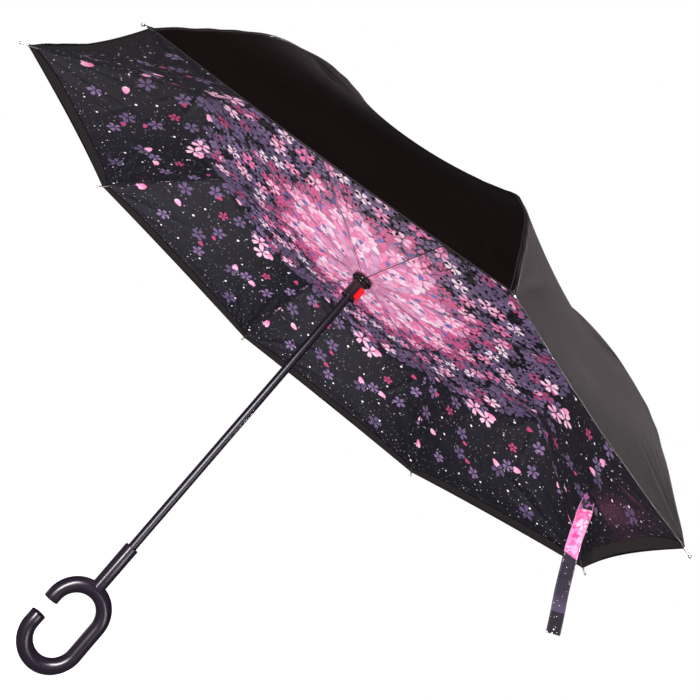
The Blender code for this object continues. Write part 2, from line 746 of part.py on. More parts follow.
def make_runner():
    bore = SHAFT_R + SLIDE_FIT
    hinge_z = LOWER_HINGE[1]
    foot = hinge_z - RUNNER_FOOT_DROP
    lip_top = foot + RUNNER_LIP_H
    shoulder = hinge_z - SHOULDER_DROP
    bell = hinge_z - BELL_DROP
    head_top = hinge_z + HEAD_HALF_H
    flare = BELL_R - SHOULDER_R
    profile = [
        (bore, foot),
        (RUNNER_LIP_R - 2 * EDGE, foot),
        (RUNNER_LIP_R, foot + EDGE),
        (RUNNER_LIP_R, lip_top - EDGE),
        (RUNNER_BODY_R, lip_top),
        (RUNNER_BODY_R, shoulder),
        (SHOULDER_R - EDGE, shoulder + 2 * EDGE),
        (SHOULDER_R, shoulder + 4 * EDGE),
        (SHOULDER_R, bell),
        *[(SHOULDER_R + flare * out, bell + BELL_H * up) for out, up in BELL_SHARES],
        (CLOTH_NECK_R, bell + BELL_H),
        (CLOTH_NECK_R, hinge_z - HEAD_HALF_H),
        *grooved_head(HEAD_R, hinge_z),
        (HEAD_R - EDGE, head_top),
        (bore + SPOUT_WALL + EDGE, head_top),
        (bore + SPOUT_WALL, head_top + EDGE),
        (bore, head_top + EDGE),
    ]
    runner = screwed("runner", [(r, at_rim(z)) for r, z in profile])
    boolean(runner, slot_cutter("runner_slots", LOWER_HINGE, HEAD_R, -1))
    half_w, half_h = BUTTON_HALF_W + POCKET_GAP, BUTTON_HALF_H + POCKET_GAP
    middle = at_rim(hinge_z - BUTTON_DROP)
    low, high = (POCKET_FLOOR_R, -half_w, middle - half_h), (CUTTER_REACH, half_w, middle + half_h)
    pocket = box("button_pocket", low, high)
    pocket.transform(Matrix.Rotation(BUTTON_AZIMUTH, 4, "Z"))
    boolean(runner, add_helper("button_pocket", pocket))
    hinge_ring("runner_wire", LOWER_HINGE)


def make_button():
    middle = at_rim(LOWER_HINGE[1] - BUTTON_DROP)
    low, high = (0, -BUTTON_HALF_W, -BUTTON_HALF_H), (BUTTON_DEPTH, BUTTON_HALF_W, BUTTON_HALF_H)
    button = add_node("release_button", box("release_button", low, high))
    out = Vector((math.cos(BUTTON_AZIMUTH), math.sin(BUTTON_AZIMUTH), 0))
    button.location = out * BUTTON_IN_R + Vector((0, 0, middle))
    button.rotation_euler.z = BUTTON_AZIMUTH
    soften = button.modifiers.new("soften", "BEVEL")
    soften.width = BUTTON_BEVEL
    soften.segments = 2
    bore_end = SPRING_OUT_R + SPRING_END_GAP - BUTTON_IN_R
    bore = prism("button_bore", circle((0, 0), BUTTON_BORE_R), -BUTTON_BORE_R, bore_end)
    bore.transform(Matrix.Rotation(-math.pi / 2, 4, "Z"))
    bore.transform(Matrix.Rotation(BUTTON_AZIMUTH, 4, "Z"))
    bore.transform(Matrix.Translation(button.location))
    boolean(button, add_helper("button_bore", bore))
    steps = SPRING_TURNS * SPRING_STEPS
    line = []
    for i in range(steps + 1):
        angle = math.tau * i / SPRING_STEPS
        reach = SPRING_IN_R + SPRING_LENGTH * i / steps
        line.append((reach, SPRING_R * math.cos(angle), SPRING_R * math.sin(angle)))
    coil = swept("button_spring", line, SPRING_WIRE_R, ROD_SIDES)
    coil.transform(Matrix.Rotation(BUTTON_AZIMUTH, 4, "Z"))
    coil.transform(Matrix.Translation((0, 0, middle)))
    add_node("button_spring", coil)


def make_notch():
    bore = SHAFT_R + FIT
    hinge_z = UPPER_HINGE[1]
    foot = hinge_z - NOTCH_FOOT_DROP
    under, top = hinge_z - HEAD_HALF_H, hinge_z + HEAD_HALF_H
    profile = [
        (bore, foot),
        (NOTCH_COLLAR_R - EDGE, foot),
        (NOTCH_COLLAR_R, foot + EDGE),
        (NOTCH_COLLAR_R, under - EDGE),
        (NOTCH_COLLAR_R + EDGE, under),
        *grooved_head(NOTCH_HEAD_R, hinge_z),
        (NOTCH_NECK_R, top + NOTCH_TAPER_H),
        (NOTCH_NECK_R, SHAFT_TOP_Z),
        (bore, SHAFT_TOP_Z),
    ]
    notch = screwed("top_notch", [(r, at_rim(z)) for r, z in profile])
    boolean(notch, slot_cutter("notch_slots", UPPER_HINGE, NOTCH_HEAD_R, 1))
    hinge_ring("notch_wire", UPPER_HINGE)


def make_cap():
    stem = SHAFT_BORE_R - FIT
    seat = CROWN_Z + CAP_SEAT_GAP
    foot = seat - STEM_LENGTH
    profile = [(0, foot), (stem - EDGE, foot), (stem, foot + EDGE), (stem, seat)]
    profile += [(TOP_CAP_R * out, seat + TOP_CAP_H * up) for out, up in TOP_CAP_SHARES]
    screwed("top_cap", [(r, at_rim(z)) for r, z in profile], closed=False)


def make_shaft():
    foot, top = NECK_BORE_FLOOR_Z + FIT, at_rim(SHAFT_TOP_Z)
    tube = ((SHAFT_BORE_R, foot), (SHAFT_R, foot), (SHAFT_R, top), (SHAFT_BORE_R, top))
    shaft = screwed("shaft", tube)
    hole = pin_mesh("shaft_pin_hole", HANDLE_PIN_R + FIT, CUTTER_REACH)
    boolean(shaft, add_helper("shaft_pin_hole", hole))


def pin_mesh(name, radius, half):
    return prism(name, circle((0, HANDLE_PIN_Z), radius), -half, half)


def flared_arc(middle_z, start, end):
    """The loop's end arc in the XZ plane. Its -X side opens out by LOOP_FLARE."""
    points = []
    for i in range(GRIP_ARC_STEPS + 1):
        angle = math.radians(start + (end - start) * i / GRIP_ARC_STEPS)
        open_share = max(0.0, -math.cos(angle)) ** 2
        radius = LOOP_R + LOOP_FLARE * open_share
        points.append((radius * math.cos(angle), 0, middle_z + radius * math.sin(angle)))
    return points


def make_handle():
    top = flared_arc(LOOP_HALF_STRAIGHT, 180, 0)
    foot = flared_arc(-LOOP_HALF_STRAIGHT, 0, -180)
    left = -(LOOP_R + LOOP_FLARE)
    inset = GRIP_ROUND * (1 - math.sqrt(1 / 2))
    head = [(left, 0, MOUTH_TOP_Z), (left, 0, MOUTH_TOP_Z + inset), (left, 0, MOUTH_TOP_Z + GRIP_ROUND)]
    tail = [(left, 0, MOUTH_FOOT_Z - GRIP_ROUND), (left, 0, MOUTH_FOOT_Z - inset)]
    tail.append((left, 0, MOUTH_FOOT_Z))
    line = [*head, *top, *foot, *tail]
    rounding = [GRIP_R - GRIP_ROUND, GRIP_R - inset, GRIP_R]
    radii = rounding + [GRIP_R] * (len(line) - 6) + rounding[::-1]
    handle = add_node("handle", swept("handle", line, radii, GRIP_SIDES))
    neck_profile = (
        (0, NECK_FOOT_Z),
        (NECK_ROOT_R, NECK_FOOT_Z),
        (NECK_R, NECK_TOP_Z - NECK_ROUND),
        (NECK_R - NECK_ROUND, NECK_TOP_Z),
        (0, NECK_TOP_Z),
    )
    neck = solid_turn("handle_neck", neck_profile)
    boolean(handle, add_helper("handle_neck", neck), "UNION")
    bore_profile = (
        (0, NECK_BORE_FLOOR_Z),
        (NECK_BORE_R, NECK_BORE_FLOOR_Z),
        (NECK_BORE_R, NECK_TOP_Z + CUTTER_REACH),
        (0, NECK_TOP_Z + CUTTER_REACH),
    )
    boolean(handle, add_helper("handle_bore", solid_turn("handle_bore", bore_profile)))
    hole = pin_mesh("handle_pin_hole", HANDLE_PIN_R + FIT, CUTTER_REACH)
    boolean(handle, add_helper("handle_pin_hole", hole))
    add_node("handle_pin", pin_mesh("handle_pin", HANDLE_PIN_R, NECK_ROOT_R - HANDLE_PIN_INSET))


def solid_turn(name, profile):
    """A solid turned round Z from a profile that starts and ends on the axis."""
    points, faces = [(0, 0, profile[0][1])], []
    rows = profile[1:-1]
    for i in range(ROUND_STEPS):
        angle = math.tau * i / ROUND_STEPS
        points += [(r * math.cos(angle), r * math.sin(angle), z) for r, z in rows]
    points.append((0, 0, profile[-1][1]))
    count, last = len(rows), len(points) - 1
    for i in range(ROUND_STEPS):
        a, b = 1 + i * count, 1 + ((i + 1) % ROUND_STEPS) * count
        faces.append((0, b, a))
        for row in range(count - 1):
            faces.append((a + row, b + row, b + row + 1, a + row + 1))
        faces.append((last, a + count - 1, b + count - 1))
    return mesh_of(name, points, faces)


def make_strap():
    """A flat band, lofted from the sewn end, which lies along the canopy, to the hanging end."""
    facing = STRAP_FACING.normalized()
    hang = STRAP_HANG.normalized()
    across_hang = hang.cross(facing).normalized()
    bow_way = -across_hang
    if STRAP_ROOT_ACROSS.dot(across_hang) < 0:
        across_hang = -across_hang
    points = []
    for i in range(STRAP_STEPS + 1):
        share = i / STRAP_STEPS
        middle = STRAP_HANG * share + bow_way * STRAP_BOW * 4 * share * (1 - share)
        turn = min(1.0, share / STRAP_TWIST_SHARE)
        across = STRAP_ROOT_ACROSS.normalized().lerp(across_hang, turn).normalized()
        face = across.cross(hang).normalized()
        for a, b in ((-1, -1), (1, -1), (1, 1), (-1, 1)):
            points.append(middle + across * STRAP_HALF_W * a + face * STRAP_T / 2 * b)
    faces = [(0, 1, 2, 3), tuple(range(len(points) - 4, len(points)))]
    for i in range(STRAP_STEPS):
        for k in range(4):
            m = (k + 1) % 4
            faces.append((4 * i + k, 4 * i + m, 4 * i + 4 + m, 4 * i + 4 + k))
    strap = add_node("strap", mesh_of("strap", points, faces))
    strap.location = STRAP_ROOT_SHARES * TIP_R + Vector((0, 0, RIM_Z))


clear_scene()
UMBRELLA = collection("inverted_umbrella")
HELPERS = collection("helpers", hidden=True)
make_shaft()
make_notch()
make_cap()
make_handle()
make_runner()
make_button()
make_linkages()
make_canopies()
make_strap()
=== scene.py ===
import math

import bmesh
import bpy
import numpy as np
from mathutils import Matrix, Vector


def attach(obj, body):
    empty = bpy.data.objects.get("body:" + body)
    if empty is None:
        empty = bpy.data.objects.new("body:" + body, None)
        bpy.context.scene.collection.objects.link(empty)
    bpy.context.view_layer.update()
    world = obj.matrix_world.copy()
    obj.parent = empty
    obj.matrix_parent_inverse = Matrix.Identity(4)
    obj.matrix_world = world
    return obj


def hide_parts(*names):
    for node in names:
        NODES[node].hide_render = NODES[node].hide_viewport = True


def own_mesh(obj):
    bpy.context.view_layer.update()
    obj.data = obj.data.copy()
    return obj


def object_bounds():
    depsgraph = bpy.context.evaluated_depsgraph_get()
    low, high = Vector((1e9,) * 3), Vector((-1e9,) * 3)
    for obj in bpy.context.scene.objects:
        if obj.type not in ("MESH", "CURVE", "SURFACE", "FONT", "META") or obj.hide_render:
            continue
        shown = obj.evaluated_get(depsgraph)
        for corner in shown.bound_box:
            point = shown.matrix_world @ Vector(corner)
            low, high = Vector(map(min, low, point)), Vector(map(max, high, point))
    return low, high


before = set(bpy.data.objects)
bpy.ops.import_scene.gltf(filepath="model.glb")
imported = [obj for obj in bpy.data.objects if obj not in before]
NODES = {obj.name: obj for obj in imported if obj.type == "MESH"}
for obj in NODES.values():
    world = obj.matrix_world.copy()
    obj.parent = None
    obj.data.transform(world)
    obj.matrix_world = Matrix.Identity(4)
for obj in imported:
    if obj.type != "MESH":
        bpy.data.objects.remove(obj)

CAD_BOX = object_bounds()

# The umbrella's own sizes, in metres, as its CAD model has them
RIM_Z = 0.5045
TIP_R = 0.525
RIB_COUNT = 8
HALF_GORE = math.pi / RIB_COUNT
# The outer canopy over a rib, from its hub to the tip: radius and height over the rim, as shares of TIP_R
RIDGE = (
    (0.0108, 0.3955),
    (0.12, 0.392),
    (0.25, 0.386),
    (0.38, 0.377),
    (0.486, 0.362),
    (0.55, 0.345),
    (0.605, 0.325),
    (0.666, 0.297),
    (0.711, 0.270),
    (0.761, 0.240),
    (0.816, 0.198),
    (0.862, 0.153),
    (0.905, 0.108),
    (0.945, 0.064),
    (0.978, 0.028),
    (1.0, 0.0),
)
# How far it dips between two ribs, as shares of its width there, at these shares of TIP_R
DIP_AT = (0.0, 0.30, 0.55, 0.80, 0.92, 1.0)
DIP = (0.0, 0.12, 0.080, 0.036, 0.028, 0.0215)
# The lining over a rib: its hub, and the knee where it bends. Heights are over the rim
KNEE_R = 0.6286 * TIP_R
KNEE_Z = 0.217 * TIP_R
HUB_R = 0.0086
HUB_Z = 0.1642 * TIP_R
INNER_DROP = 0.04  # how far it dips between two knees, as a share of its width there
HEM_START = 0.916  # where the hem begins, as a share of the way from knee to rim
INNER_END = 0.921  # where the lining ends, as such a share
EDGE_ARC = 0.052  # how much nearer the rim the lining's edge comes at the tips
CLOTH_T = 0.0005
FOLD_R = 0.305  # the cloth is parted here, under the eye on which each rib folds

# Cloth grids
GORE_STEPS = 72
OUTER_ROWS = 120
INNER_ROWS = 132
HEM_ROWS = 9
COLUMNS = RIB_COUNT * GORE_STEPS
HALF_STEPS = GORE_STEPS // 2

# Stitches and vent holes
SEAM_ASIDE = 0.0032  # how far beside a seam its stitches run
STITCH_LIFT = 0.0001
VENT_ROWS = 8
VENT_START = 0.182  # along the gore, from its hub
VENT_ROW_STEP = 0.0152
VENT_SPACING = 0.0155
VENT_MARGIN = 0.016


def hermite(at, xs, ys):
    """A smooth line through the given points, read at the places in at."""
    at, xs, ys = (np.asarray(v, float) for v in (at, xs, ys))
    rise = np.diff(ys) / np.diff(xs)
    slope = np.concatenate([[rise[0]], (rise[:-1] + rise[1:]) / 2, [rise[-1]]])
    flat = np.concatenate([[False], rise[:-1] * rise[1:] <= 0, [False]])
    slope[flat] = 0
    i = np.clip(np.searchsorted(xs, at) - 1, 0, len(xs) - 2)
    step = xs[i + 1] - xs[i]
    t = (at - xs[i]) / step
    near = (2 * t**3 - 3 * t**2 + 1) * ys[i] + (t**3 - 2 * t**2 + t) * step * slope[i]
    far = (3 * t**2 - 2 * t**3) * ys[i + 1] + (t**3 - t**2) * step * slope[i + 1]
    return near + far


def ease(value, low, high):
    """Rises smoothly from 0 to 1 between low and high."""
    t = np.clip((value - low) / (high - low), 0, 1)
    return t * t * (3 - 2 * t)


def chord_share(u):
    """The radius of the straight line between two ribs, as a share of theirs. At a rib, u is -1 or 1."""
    return math.cos(HALF_GORE) / np.cos(np.arctan(u * math.tan(HALF_GORE)))


def ridge_line(rows):
    """The outer canopy over a rib: radius and height at even steps of its length, and the length."""
    points = np.array(RIDGE) * TIP_R
    way = np.concatenate([[0], np.cumsum(np.hypot(*np.diff(points, axis=0).T))])
    at = np.linspace(0, way[-1], rows)
    line = np.stack([hermite(at, way, points[:, 0]), hermite(at, way, points[:, 1])], axis=1)
    return line, at


def outer_profile(u, rows):
    """The outer canopy at u, which dips inwards between the ribs and comes level at its rim."""
    ridge, way = ridge_line(rows)
    run = np.gradient(ridge, axis=0)
    inward = np.stack([run[:, 1], -run[:, 0]], axis=1)
    inward /= np.linalg.norm(inward, axis=1)[:, None]
    level = ease(ridge[:, 0], 0.985 * TIP_R, TIP_R)[:, None]
    inward = inward * (1 - level) + np.array([-1.0, 0.0]) * level
    width = 2 * ridge[:, 0] * math.sin(HALF_GORE)
    dip = np.interp(ridge[:, 0] / TIP_R, DIP_AT, DIP) * width * (1 - u * u)
    return ridge * [chord_share(u), 1] + dip[:, None] * inward, way


def inner_corners(u):
    """The inner canopy's under side at u: its hub, knee and rim."""
    width = 2 * KNEE_R * math.sin(HALF_GORE)
    knee = np.array([KNEE_R * chord_share(u), KNEE_Z - INNER_DROP * width * (1 - u * u)])
    dip = DIP[-1] * 2 * TIP_R * math.sin(HALF_GORE) * (1 - u * u)
    return np.array([HUB_R, HUB_Z]), knee, np.array([TIP_R * chord_share(u) - dip, 0.0])


def inner_profile(u, rows):
    """The inner canopy's under side, its bend at the knee softer the further it is from a rib."""
    hub, knee, rim = inner_corners(u)
    end = knee + (INNER_END + EDGE_ARC * abs(u) ** 5) * (rim - knee)
    rib_hub, rib_knee, rib_rim = inner_corners(1.0)
    first = np.linalg.norm(rib_knee - rib_hub)
    second = np.linalg.norm(rib_rim - rib_knee) * INNER_END
    way = np.linspace(0, first + second, rows)
    share_in = np.clip(way / first, 0, 1)
    share_out = np.clip((way - first) / second, 0, 1)
    line = hub + (knee - hub) * share_in[:, None] + (end - knee) * share_out[:, None]
    sag = INNER_DROP * 2 * KNEE_R * math.sin(HALF_GORE) * (1 - u * u)
    line[:, 1] += sag * (share_in - share_in**2)
    soft = 0.002 + 0.020 * (1 - u * u)
    step = way[1] - way[0]
    reach = max(1, int(3 * soft / step))
    weights = np.exp(-0.5 * (np.arange(-reach, reach + 1) * step / soft) ** 2)
    weights /= weights.sum()
    padded = np.pad(line, ((reach, reach), (0, 0)), mode="reflect", reflect_type="odd")
    for axis in (0, 1):
        line[:, axis] = np.convolve(padded[:, axis], weights, mode="valid")
    lift = 0.00145 * ease(share_out, 0.86, 0.97)
    line[:, 1] += lift
    return line, way


def hem_profile(u, rows):
    """The hem at u, from its inner edge to the rim."""
    _, knee, rim = inner_corners(u)
    shares = np.linspace(HEM_START + EDGE_ARC * abs(u) ** 5, 0.9990, rows)[:, None]
    line = knee + shares * (rim - knee)
    way = shares[:, 0] * np.linalg.norm(np.array([TIP_R - KNEE_R, KNEE_Z]))
    return line, way


def cloth(profile, rows):
    """Points of a canopy layer, one column after another right round, and where each lies on its gore."""
    us = 2 * np.arange(GORE_STEPS + 1) / GORE_STEPS - 1
    lines = [profile(float(u), rows) for u in us]
    way = lines[HALF_STEPS][1]
    across = np.stack([line[:, 0] * np.sin(np.arctan(u * math.tan(HALF_GORE)))
                       for u, (line, _) in zip(us, lines)])
    points = np.zeros((COLUMNS, rows, 3))
    for gore in range(RIB_COUNT):
        middle = HALF_GORE * (2 * gore + 1)
        for k in range(GORE_STEPS):
            line = lines[k][0]
            azimuth = middle + math.atan(us[k] * math.tan(HALF_GORE))
            points[gore * GORE_STEPS + k] = np.stack(
                [line[:, 0] * math.cos(azimuth), line[:, 0] * math.sin(azimuth), line[:, 1] + RIM_Z],
                axis=1,
            )
    return points, across, way


def grid_normals(points):
    """The normal at each point of a layer's grid."""
    across = np.roll(points, -1, 0) - np.roll(points, 1, 0)
    along = np.gradient(points, axis=1)
    normals = np.cross(along, across)
    return normals / np.maximum(np.linalg.norm(normals, axis=2), 1e-12)[..., None]


def crease(across, way, ends, depth, width, soft=0.5):
    """The height of a fold in the cloth that runs between two points of a gore's plan."""
    (x0, y0), (x1, y1) = ends
    run = np.array([x1 - x0, y1 - y0])
    length = float(np.linalg.norm(run))
    run = run / length
    along = ((across - x0) * run[0] + (way - y0) * run[1]) / length
    aside = (way - y0) * run[0] - (across - x0) * run[1]
    fade = ease(along, 0, soft) * (1 - ease(along, 1 - soft, 1))
    spread = width * (0.45 + 0.9 * np.clip(along, 0, 1))
    return depth * fade * np.exp(-((aside / spread) ** 2)) * np.cos(1.6 * aside / spread)


def tip_fan(random, tip, side, k, leans, step, reaches):
    """Where the next fold of a tip's fan ends."""
    lean = math.radians(random.uniform(*leans) + step * k) + HALF_GORE
    return tip - random.uniform(*reaches) * np.array([side * math.sin(lean), math.cos(lean)])


def pucker(across, ways, gore, beat, swing, width):
    """The small ripple of a seam along its rib, and how far each point is from that rib."""
    rib_gap = np.abs(np.abs(across) - np.abs(across[-1]))
    ripple = np.sin(ways / beat + 3 * np.sin(ways / swing + gore))
    return ripple * np.exp(-((rib_gap / width) ** 2)), rib_gap


def inner_folds(points, normals, across, way):
    """Tension folds that fan out from the tips and knees, and the seams' pucker along the ribs."""
    random = np.random.default_rng(41)
    ways = np.broadcast_to(way, across.shape)
    knee_way = math.hypot(KNEE_R - HUB_R, KNEE_Z - HUB_Z)
    tip_way = way[-1] + 0.014
    knee_x = KNEE_R * math.sin(HALF_GORE)
    tip_x = TIP_R * math.sin(HALF_GORE)
    tall = np.zeros(points.shape[:2])
    for gore in range(RIB_COUNT):
        height = np.zeros(across.shape)

        def fold(start, end, depth, width, soft):
            height[:] += crease(across, ways, (start, end), depth, width, soft)

        for side in (-1, 1):
            tip = np.array([side * tip_x, tip_way])
            knee = np.array([side * knee_x, knee_way])
            for k in range(5):
                aim = tip_fan(random, tip, side, k, (5, 12), 13, (0.11, 0.24))
                fold(tip, aim, random.uniform(0.0009, 0.0024) * (-1) ** k, random.uniform(0.005, 0.010), 0.3)
            for k in range(3):
                lean = math.radians(random.uniform(20, 34) + 30 * k)
                aim = knee + random.uniform(0.05, 0.13) * np.array([-side * math.sin(lean), math.cos(lean)])
                fold(knee, aim, random.uniform(0.0008, 0.0018), random.uniform(0.004, 0.009), 0.35)
            for k in range(2):
                aim = knee + np.array([-side * random.uniform(0.06, 0.12), -random.uniform(0.02, 0.09)])
                fold(knee, aim, random.uniform(0.0006, 0.0014), random.uniform(0.004, 0.008), 0.35)
        for k in range(4):
            start = np.array([random.uniform(-0.11, 0.11), random.uniform(0.30, 0.42)])
            end = start + np.array([random.uniform(-0.08, 0.08), random.uniform(0.05, 0.11)])
            fold(start, end, random.uniform(-0.0012, 0.0012), 0.008, 0.4)
        ripple, rib_gap = pucker(across, ways, gore, 0.0085, 0.031, 0.006)
        outer_part = ease(ways, knee_way - 0.01, knee_way + 0.03)
        valley = 0.0016 * np.exp(-(rib_gap / 0.007)) * outer_part
        valley += 0.0007 * np.exp(-(rib_gap / 0.003)) * (1 - outer_part)
        height += 0.00035 * ripple + valley
        edge = 1 - ease(ways, way[-1] - 0.010, way[-1])
        hub = ease(ways, 0.012, 0.05)
        tall[gore * GORE_STEPS:(gore + 1) * GORE_STEPS] = (height * edge * hub)[:-1]
    return points + normals * tall[..., None]


def outer_folds(points, normals, across, way):
    """Shallow folds from the tips and from the elbows of the upper arms."""
    random = np.random.default_rng(17)
    ways = np.broadcast_to(way, across.shape)
    tall = np.zeros(points.shape[:2])
    tip_way = way[-1]
    tip_x = TIP_R * math.sin(HALF_GORE)
    elbow_way = float(np.interp(0.69 * TIP_R, ridge_line(OUTER_ROWS)[0][:, 0], way))
    elbow_x = 0.69 * tip_x
    for gore in range(RIB_COUNT):
        height = np.zeros(across.shape)
        for side in (-1, 1):
            tip = np.array([side * tip_x, tip_way])
            for k in range(3):
                aim = tip_fan(random, tip, side, k, (4, 10), 9, (0.10, 0.20))
                height += crease(across, ways, (tip, aim), random.uniform(-0.0014, 0.0014), 0.007, 0.3)
            elbow = np.array([side * elbow_x, elbow_way + random.uniform(-0.01, 0.01)])
            for k in range(3):
                aim = elbow + np.array([-side * random.uniform(0.05, 0.11), random.uniform(-0.07, 0.05)])
                height += crease(across, ways, (elbow, aim), -random.uniform(0.0006, 0.0018), 0.008, 0.35)
        height += 0.00030 * pucker(across, ways, gore, 0.0090, 0.037, 0.005)[0]
        edge = 1 - ease(ways, way[-1] - 0.012, way[-1])
        tall[gore * GORE_STEPS:(gore + 1) * GORE_STEPS] = (height * edge * ease(ways, 0.02, 0.06))[:-1]
    return points + normals * tall[..., None]


def new_object(name, mesh, material):
    made = bpy.data.objects.new(name, mesh)
    bpy.context.collection.objects.link(made)
    mesh.materials.clear()
    mesh.materials.append(material)
    return made


def rim_loop(rows, columns):
    """The outline of a grid whose points are numbered row by row."""
    loop = list(range(columns)) + [i * columns + columns - 1 for i in range(1, rows)]
    loop += [(rows - 1) * columns + j for j in range(columns - 2, -1, -1)]
    loop += [i * columns for i in range(rows - 2, 0, -1)]
    return list(zip(loop, loop[1:] + loop[:1]))


def set_plan(mesh, name, plans):
    """Gives each corner of each face its place on the flat plan of the cloth."""
    plan = mesh.uv_layers.new(name=name)
    plan.data.foreach_set("uv", np.array([c for corners in plans for c in corners], np.float32).ravel())


def cloth_piece(name, points, normals, across, way, rib, rows, outward, material):
    """One rib's share of a canopy layer, from one gore's middle to the next, as a thin closed cloth."""
    steps = range(-HALF_STEPS, HALF_STEPS + 1)
    columns = [(rib * GORE_STEPS + k) % COLUMNS for k in steps]
    lines = list(range(rows[0], rows[1] + 1))
    grid = points[np.ix_(columns, lines)]
    facing = normals[np.ix_(columns, lines)]
    wide, long = len(columns), len(lines)
    back = grid - outward * facing * CLOTH_T
    corners = np.concatenate([grid.reshape(-1, 3), back.reshape(-1, 3)])
    smooth = np.concatenate([outward * facing.reshape(-1, 3), -outward * facing.reshape(-1, 3)])
    layer = wide * long
    faces, plans = [], []
    for i in range(wide - 1):
        gore_step = steps[i] % GORE_STEPS
        for j in range(long - 1):
            square = ((0, 0), (0, 1), (1, 1), (1, 0))
            quad = tuple((i + a) * long + j + b for a, b in square)
            plan = tuple((across[gore_step + a, lines[j] + b], way[lines[j] + b]) for a, b in square)
            if outward < 0:
                quad, plan = quad[::-1], plan[::-1]
            faces += [quad, tuple(layer + v for v in quad[::-1])]
            plans += [plan, plan[::-1]]
    for pair in rim_loop(long, wide):
        a, b = (v % wide * long + v // wide for v in pair)
        wall = (a, b, layer + b, layer + a)
        if outward < 0:
            wall = wall[::-1]
        faces.append(wall)
        plans.append(tuple((0.0, way[lines[0] + v % layer % long]) for v in wall))
    mesh = bpy.data.meshes.new(name)
    mesh.from_pydata(corners.tolist(), [], faces)
    mesh.polygons.foreach_set("use_smooth", [True] * len(mesh.polygons))
    set_plan(mesh, "gore_plan", plans)
    seam = mesh.attributes.new("from_rib", "FLOAT", "POINT")
    off_rib = np.abs(across[-1, lines])[None] - np.abs(across[np.ix_([k % GORE_STEPS for k in steps], lines)])
    seam.data.foreach_set("value", np.tile(off_rib.ravel(), 2).astype(np.float32))
    mesh.normals_split_custom_set_from_vertices(smooth.tolist())
    made = new_object(name, mesh, material)
    ab = grid[1:, :-1] - grid[:-1, :-1]
    ac = grid[:-1, 1:] - grid[:-1, :-1]
    area = float(np.linalg.norm(np.cross(ab, ac), axis=2).sum())
    return made, area, way[rows[1]] - way[rows[0]]


def settle(made, *changes):
    """Works the modifiers of a piece into its mesh, and takes the helpers away."""
    bpy.context.view_layer.update()
    graph = bpy.context.evaluated_depsgraph_get()
    mesh = bpy.data.meshes.new_from_object(made.evaluated_get(graph))
    mesh.name = made.name
    made.modifiers.clear()
    made.data = mesh
    for helper in changes:
        bpy.data.objects.remove(helper, do_unlink=True)
    return made


def cut(made, other, operation="DIFFERENCE"):
    change = made.modifiers.new(operation.lower(), "BOOLEAN")
    change.operation = operation
    change.solver = "EXACT"
    change.object = other


def rounded(made, width, segments, angle=35.0):
    soften = made.modifiers.new("rounding", "BEVEL")
    soften.width = width
    soften.segments = segments
    soften.limit_method = "ANGLE"
    soften.angle_limit = math.radians(angle)


def smooth_faces(mesh, sharp=35.0):
    mesh.polygons.foreach_set("use_smooth", [True] * len(mesh.polygons))
    mesh.set_sharp_from_angle(angle=math.radians(sharp))


def solid_mesh(name, points, faces):
    """A closed smooth mesh whose faces all point outwards."""
    work = bmesh.new()
    corners = [work.verts.new(p) for p in points]
    for face in faces:
        work.faces.new([corners[i] for i in face])
    bmesh.ops.recalc_face_normals(work, faces=work.faces)
    if work.calc_volume(signed=True) < 0:
        bmesh.ops.reverse_faces(work, faces=work.faces)
    mesh = bpy.data.meshes.new(name)
    work.to_mesh(mesh)
    work.free()
    mesh.polygons.foreach_set("use_smooth", [True] * len(mesh.polygons))
    return mesh


def swept(name, line, radii, sides):
    """A round bar along a line, with closed ends."""
    line = [Vector(p) for p in line]
    count = len(line)
    before = [line[max(i - 1, 0)] for i in range(count)]
    after = [line[min(i + 1, count - 1)] for i in range(count)]
    tangents = [(b - a).normalized() for a, b in zip(before, after)]
    side = tangents[0].orthogonal().normalized()
    points, faces = [], []
    for i in range(count):
        if i:
            side = tangents[i - 1].rotation_difference(tangents[i]) @ side
        other = tangents[i].cross(side).normalized()
        for k in range(sides):
            angle = math.tau * k / sides
            points.append(line[i] + radii[i] * (math.cos(angle) * side + math.sin(angle) * other))
    for i in range(count - 1):
        for k in range(sides):
            m = (k + 1) % sides
            faces.append((i * sides + k, i * sides + m, (i + 1) * sides + m, (i + 1) * sides + k))
    faces.append(tuple(range(sides)))
    faces.append(tuple(range((count - 1) * sides, count * sides)))
    return solid_mesh(name, points, faces)


def turned(name, profile, steps, sharp=35.0):
    """A profile of (radius, height) points turned round Z. It closes on the axis or on itself."""
    on_axis = profile[0][0] == 0
    rows = profile[1:-1] if on_axis else profile
    points, faces = [], []
    for i in range(steps):
        angle = math.tau * i / steps
        points += [(r * math.cos(angle), r * math.sin(angle), z) for r, z in rows]
    count = len(rows)
    if on_axis:
        points += [(0, 0, profile[0][1]), (0, 0, profile[-1][1])]
    first, last = len(points) - 2, len(points) - 1
    for i in range(steps):
        a, b = i * count, (i + 1) % steps * count
        if on_axis:
            faces.append((first, b, a))
            faces.append((last, a + count - 1, b + count - 1))
        for k in range(count - 1 if on_axis else count):
            m = (k + 1) % count
            faces.append((a + k, b + k, b + m, a + m))
    mesh = solid_mesh(name, points, faces)
    smooth_faces(mesh, sharp)
    return mesh


